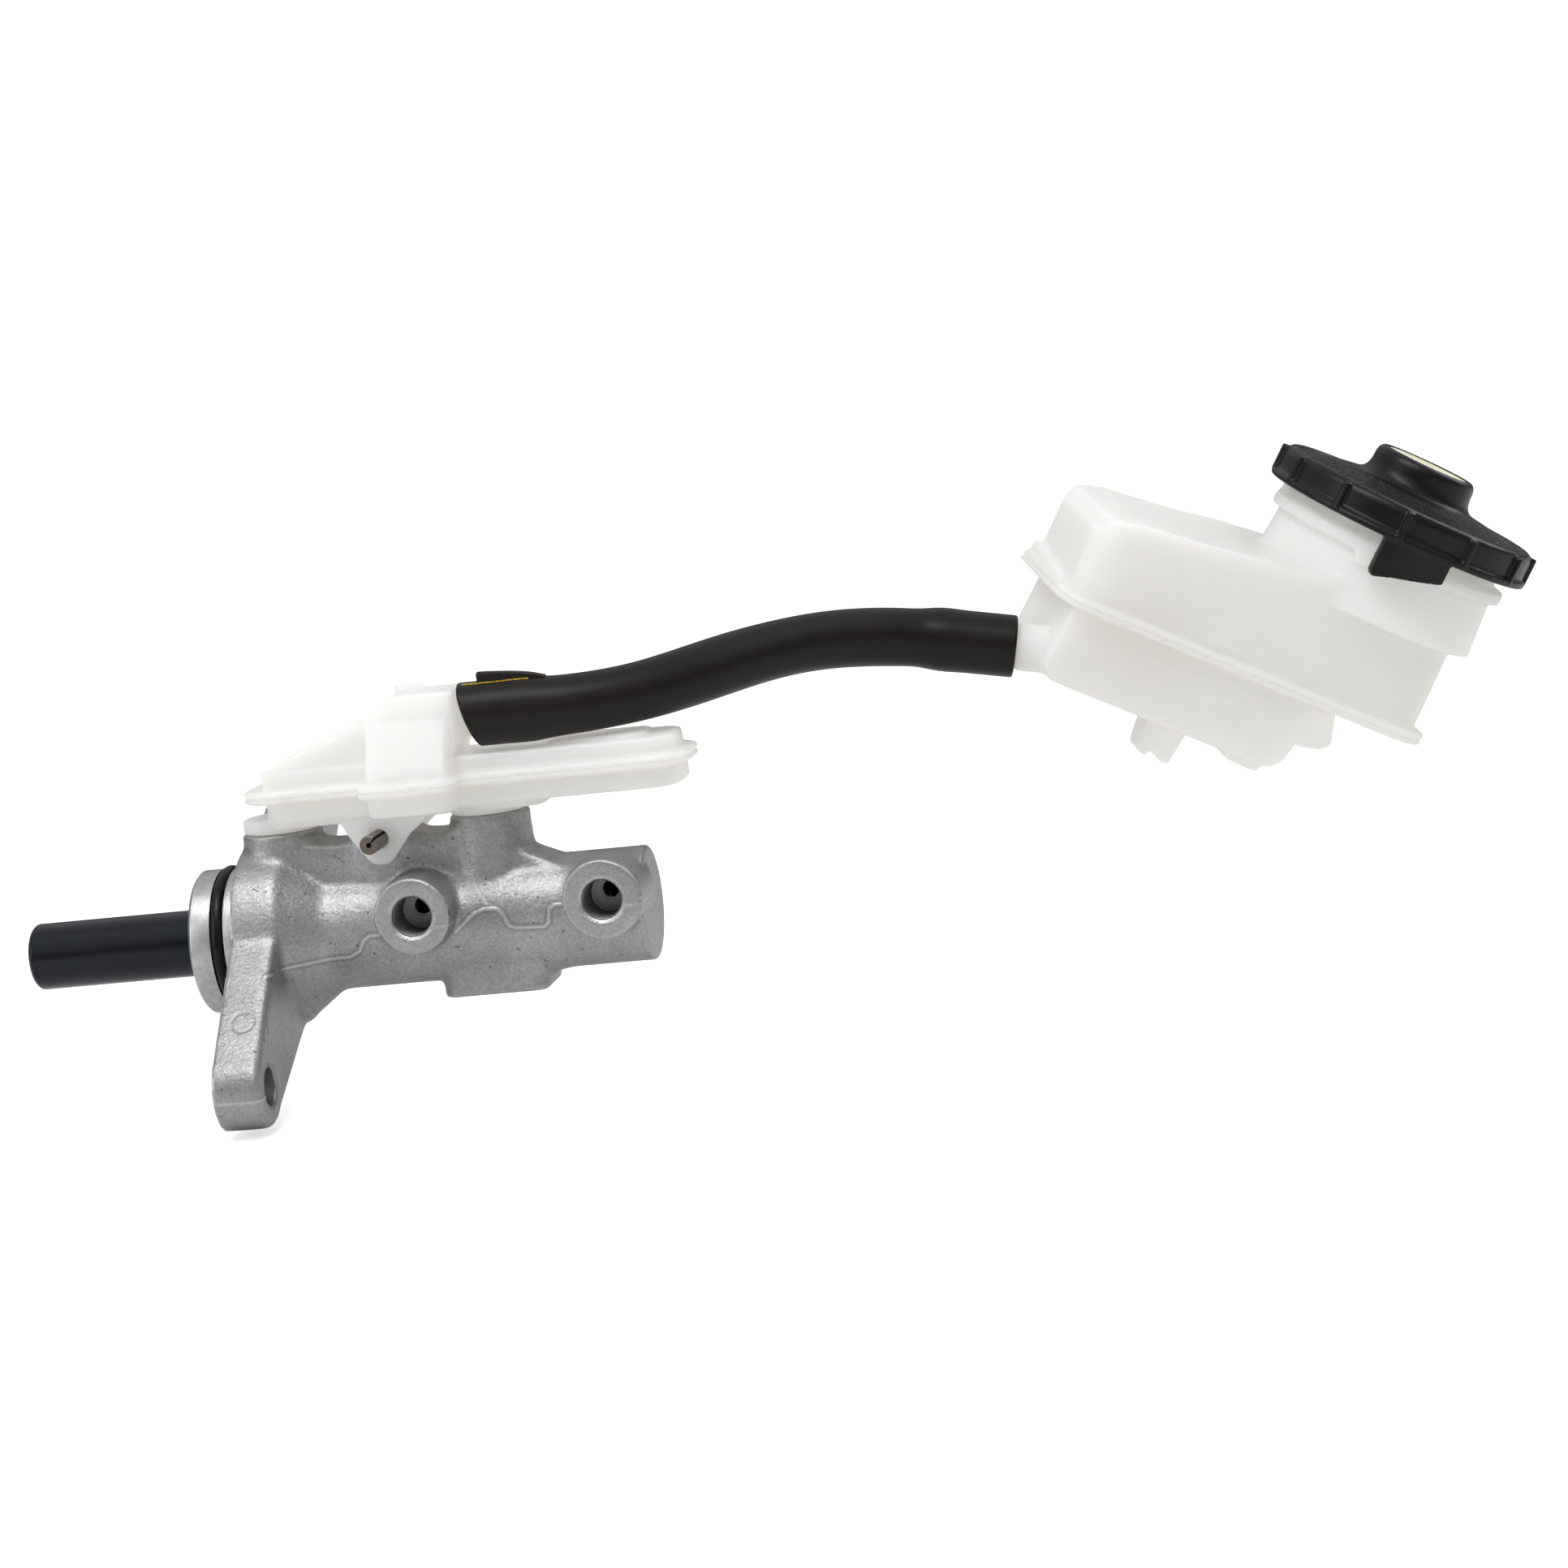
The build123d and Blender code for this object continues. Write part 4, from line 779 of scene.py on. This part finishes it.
# raised alignment rib on top of the hose at the union tank, with its yellow line
keep_i = [i for i in range(len(HC)) if 4.4 <= HL[i] <= 21.5]
verts, faces, lv, lf = [], [], [], []
for i in keep_i:
    q = (HL[i] - 4.4) / 17.1
    h = 2.6 * min(1.0, 6 * q + 0.8) * (1.0 - 0.75 * q ** 1.6)
    wd = 1.9
    lean = 0.10
    base = rad_h[i] - 0.5
    for (a, b) in ((-wd, 0), (-wd * 0.92, h * 0.8), (-wd * 0.55, h), (wd * 0.55, h), (wd * 0.92, h * 0.8), (wd, 0)):
        side = a + lean * b
        verts.append((HC[i] + HU[i] * (base + b) + HV[i] * (side)) * MM)
m = 6
for r in range(len(keep_i) - 1):
    for k in range(m):
        l = (k + 1) % m
        faces.append((r * m + k, (r + 1) * m + k, (r + 1) * m + l, r * m + l))
faces.append(tuple(range(m)))
faces.append(tuple(range((len(keep_i) - 1) * m, len(keep_i) * m))[::-1])
rib = add_mesh("hose_alignment_rib", verts, faces)
bm = bmesh.new(); bm.from_mesh(rib.data); bmesh.ops.recalc_face_normals(bm, faces=bm.faces); bm.to_mesh(rib.data); bm.free()
auto_smooth(rib, 50)
use(rib, M_HOSE)
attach(rib, "unit")

# worn yellow line at the foot of the rib, from the hose end along the side facing the ports
rng = np.random.default_rng(7)
verts, faces = [], []
line_i = [i for i in range(len(HC)) if 0.9 <= HL[i] <= 17.5]
for i0, i1 in zip(line_i[:-1], line_i[1:]):
    for sub in range(6):
        t0, t1 = sub / 6, (sub + 0.86) / 6
        if rng.random() < 0.12:
            continue
        sgn = 1.0 if HV[i0][1] < 0 else -1.0
        ang0 = sgn * (0.30 + 0.012 * rng.normal())
        hw = 0.036 + 0.018 * rng.random()
        ring = []
        for t in (t0, t1):
            p = HC[i0] * (1 - t) + HC[i1] * t
            rr = rad_h[i0] * (1 - t) + rad_h[i1] * t + 0.035
            for aa in (ang0 - hw, ang0 + hw):
                ring.append((p + (HU[i0] * math.cos(aa) + HV[i0] * math.sin(aa)) * rr) * MM)
        b = len(verts)
        verts += ring
        faces.append((b, b + 1, b + 3, b + 2))
line = add_mesh("hose_alignment_line", verts, faces)
md = line.modifiers.new("thick", "SOLIDIFY"); md.thickness = 0.08 * MM; md.offset = 0
use(line, M_YELLOW)
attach(line, "unit")

# ------------------------------------------------------------------ retaining pin
pin_prof = []
verts, faces = [], []
segs = 44
gap = math.radians(17)
dirn = math.radians(45)
ys = [(-20.0, 1.9, 0.62), (-19.7, 2.2, 0.6), (-12, 2.2, 0.6), (0, 2.2, 0.6), (11.7, 2.2, 0.6), (12.0, 1.9, 0.62)]
for (yy, ro, ri) in ys:
    for k in range(segs):
        a = dirn + gap / 2 + (2 * math.pi - gap) * k / (segs - 1)
        for r in (ro, ri):
            verts.append(np.array([35.3 + r * math.cos(a), yy, 22.2 + r * math.sin(a)]) * MM)
st = segs * 2
for r in range(len(ys) - 1):
    for k in range(segs - 1):
        a = r * st + k * 2
        faces.append((a, a + 2, a + st + 2, a + st))
        faces.append((a + 1, a + st + 1, a + st + 3, a + 3))
    a = r * st
    faces.append((a, a + st, a + st + 1, a + 1))
    a = r * st + (segs - 1) * 2
    faces.append((a, a + 1, a + st + 1, a + st))
for r in (0, len(ys) - 1):
    for k in range(segs - 1):
        a = r * st + k * 2
        faces.append((a, a + 1, a + 3, a + 2))
pin = add_mesh("retaining_roll_pin", verts, faces)
bm = bmesh.new(); bm.from_mesh(pin.data); bmesh.ops.recalc_face_normals(bm, faces=bm.faces); bm.to_mesh(pin.data); bm.free()
auto_smooth(pin, 35)
use(pin, M_ROLL)
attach(pin, "unit")
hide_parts("retaining_pin")

# ------------------------------------------------------------------ springs, copied from the CAD coils and hung on their bodies
for node, name, home, end_x, travel in (("primary_spring", "primary_spring_coil", "secondary", 0.04485, 0.014),
                                        ("secondary_spring", "secondary_spring_coil", "unit", 0.09195, 0.014)):
    src = frame["nodes"][node]
    bpy.context.view_layer.update()
    coil = bpy.data.objects.new(name, src.data.copy())
    bpy.context.scene.collection.objects.link(coil)
    coil.matrix_world = src.matrix_world.copy()
    bpy.context.view_layer.update()
    use(coil, M_SPRING)
    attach(coil, home)
    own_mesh(coil)
    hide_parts(node)

# ------------------------------------------------------------------ stage, light, camera
bpy.ops.mesh.primitive_plane_add(size=1)
floor = bpy.context.active_object
floor.name = "floor"
floor.scale = (14, 14, 1)
floor.location = (0.15, 0, cad_box[0][2] - 0.0015)
fm = Mat("floor_white")
fn = fm.noise(3.0, 2, 0.5)
fm.set("Base Color", fm.ramp(fn, [(0.3, (0.78, 0.78, 0.78)), (0.7, (0.80, 0.80, 0.80))]))
fm.set("Roughness", 0.9)
fm.set("Specular IOR Level", 0.1)
# to the camera the floor is nearly as bright as the surround, with a faint contact shadow
em = fm.n("ShaderNodeEmission")
em.inputs["Strength"].default_value = 0.62
lp = fm.n("ShaderNodeLightPath")
ad = fm.n("ShaderNodeAddShader")
mxs = fm.n("ShaderNodeMixShader")
fm.l(fm.b.outputs[0], ad.inputs[0])
fm.l(em.outputs[0], ad.inputs[1])
fm.l(lp.outputs["Is Camera Ray"], mxs.inputs[0])
fm.l(fm.b.outputs[0], mxs.inputs[1])
fm.l(ad.outputs[0], mxs.inputs[2])
fm.l(mxs.outputs[0], fm.out.inputs["Surface"])
use(floor, fm)

world = bpy.data.worlds.new("studio") if bpy.context.scene.world is None else bpy.context.scene.world
bpy.context.scene.world = world
world.use_nodes = True
wt = world.node_tree
wt.nodes.clear()
wo = wt.nodes.new("ShaderNodeOutputWorld")
wcam = wt.nodes.new("ShaderNodeBackground")
wcam.inputs["Color"].default_value = (1, 1, 1, 1)
wcam.inputs["Strength"].default_value = 1.05
wlit = wt.nodes.new("ShaderNodeBackground")
wtc = wt.nodes.new("ShaderNodeTexCoord")
wsep = wt.nodes.new("ShaderNodeSeparateXYZ")
wt.links.new(wtc.outputs["Generated"], wsep.inputs[0])
wr = wt.nodes.new("ShaderNodeValToRGB")
wr.color_ramp.elements[0].position = 0.0
wr.color_ramp.elements[0].color = (0.60, 0.60, 0.61, 1)
wr.color_ramp.elements[1].position = 1.0
wr.color_ramp.elements[1].color = (1.0, 1.0, 1.0, 1)
for p, v in ((0.47, 0.17), (0.58, 0.19), (0.68, 0.55), (0.80, 0.95)):
    e_ = wr.color_ramp.elements.new(p)
    e_.color = (v, v, v * 1.01, 1)
wm = wt.nodes.new("ShaderNodeMath")
wm.operation = "MULTIPLY_ADD"
wm.inputs[1].default_value = 0.5
wm.inputs[2].default_value = 0.5
wt.links.new(wsep.outputs[2], wm.inputs[0])
wt.links.new(wm.outputs[0], wr.inputs["Fac"])
wt.links.new(wr.outputs["Color"], wlit.inputs["Color"])
wlit.inputs["Strength"].default_value = 0.70
wlp = wt.nodes.new("ShaderNodeLightPath")
wmx = wt.nodes.new("ShaderNodeMixShader")
wt.links.new(wlp.outputs["Is Camera Ray"], wmx.inputs[0])
wt.links.new(wlit.outputs[0], wmx.inputs[1])
wt.links.new(wcam.outputs[0], wmx.inputs[2])
wt.links.new(wmx.outputs[0], wo.inputs["Surface"])


def area(name, loc, target, size, power, col=(1, 1, 1)):
    ld = bpy.data.lights.new(name, "AREA")
    ld.shape = "RECTANGLE"
    ld.size, ld.size_y = size
    ld.energy = power
    ld.color = col
    ob = bpy.data.objects.new(name, ld)
    bpy.context.scene.collection.objects.link(ob)
    ob.location = loc
    d = Vector(target) - Vector(loc)
    ob.rotation_euler = d.to_track_quat("-Z", "Y").to_euler()
    return ob


CEN = (0.13, 0.01, 0.02)
area("key_top", (0.04, -0.42, 0.86), CEN, (0.75, 0.34), 5.0)
area("fill_left", (-0.80, -0.55, 0.32), CEN, (0.30, 0.55), 2.2)
area("rim_right", (0.85, 0.45, 0.55), CEN, (0.4, 0.6), 3.0)

cam_d = bpy.data.cameras.new("photo_camera")
cam = bpy.data.objects.new("photo_camera", cam_d)
bpy.context.scene.collection.objects.link(cam)
cam_d.sensor_width = 36.0
cam_d.sensor_fit = "HORIZONTAL"
cam_d.lens = 4500.0 * 36.0 / 1932.0
cam_d.clip_start = 0.01
cam_d.clip_end = 50
C = Vector((0.26016461575, -0.82459133908, 0.13455134985))
R = Matrix(((0.98348958, 0.14058013, -0.11395385), (0.09323861, 0.14604495, 0.98487432), (0.15509615, -0.97923853, 0.13052619)))
mw = R.transposed().to_4x4()
mw.translation = C
cam.matrix_world = mw
bpy.context.scene.camera = cam
bpy.context.scene.view_settings.view_transform = "Standard"
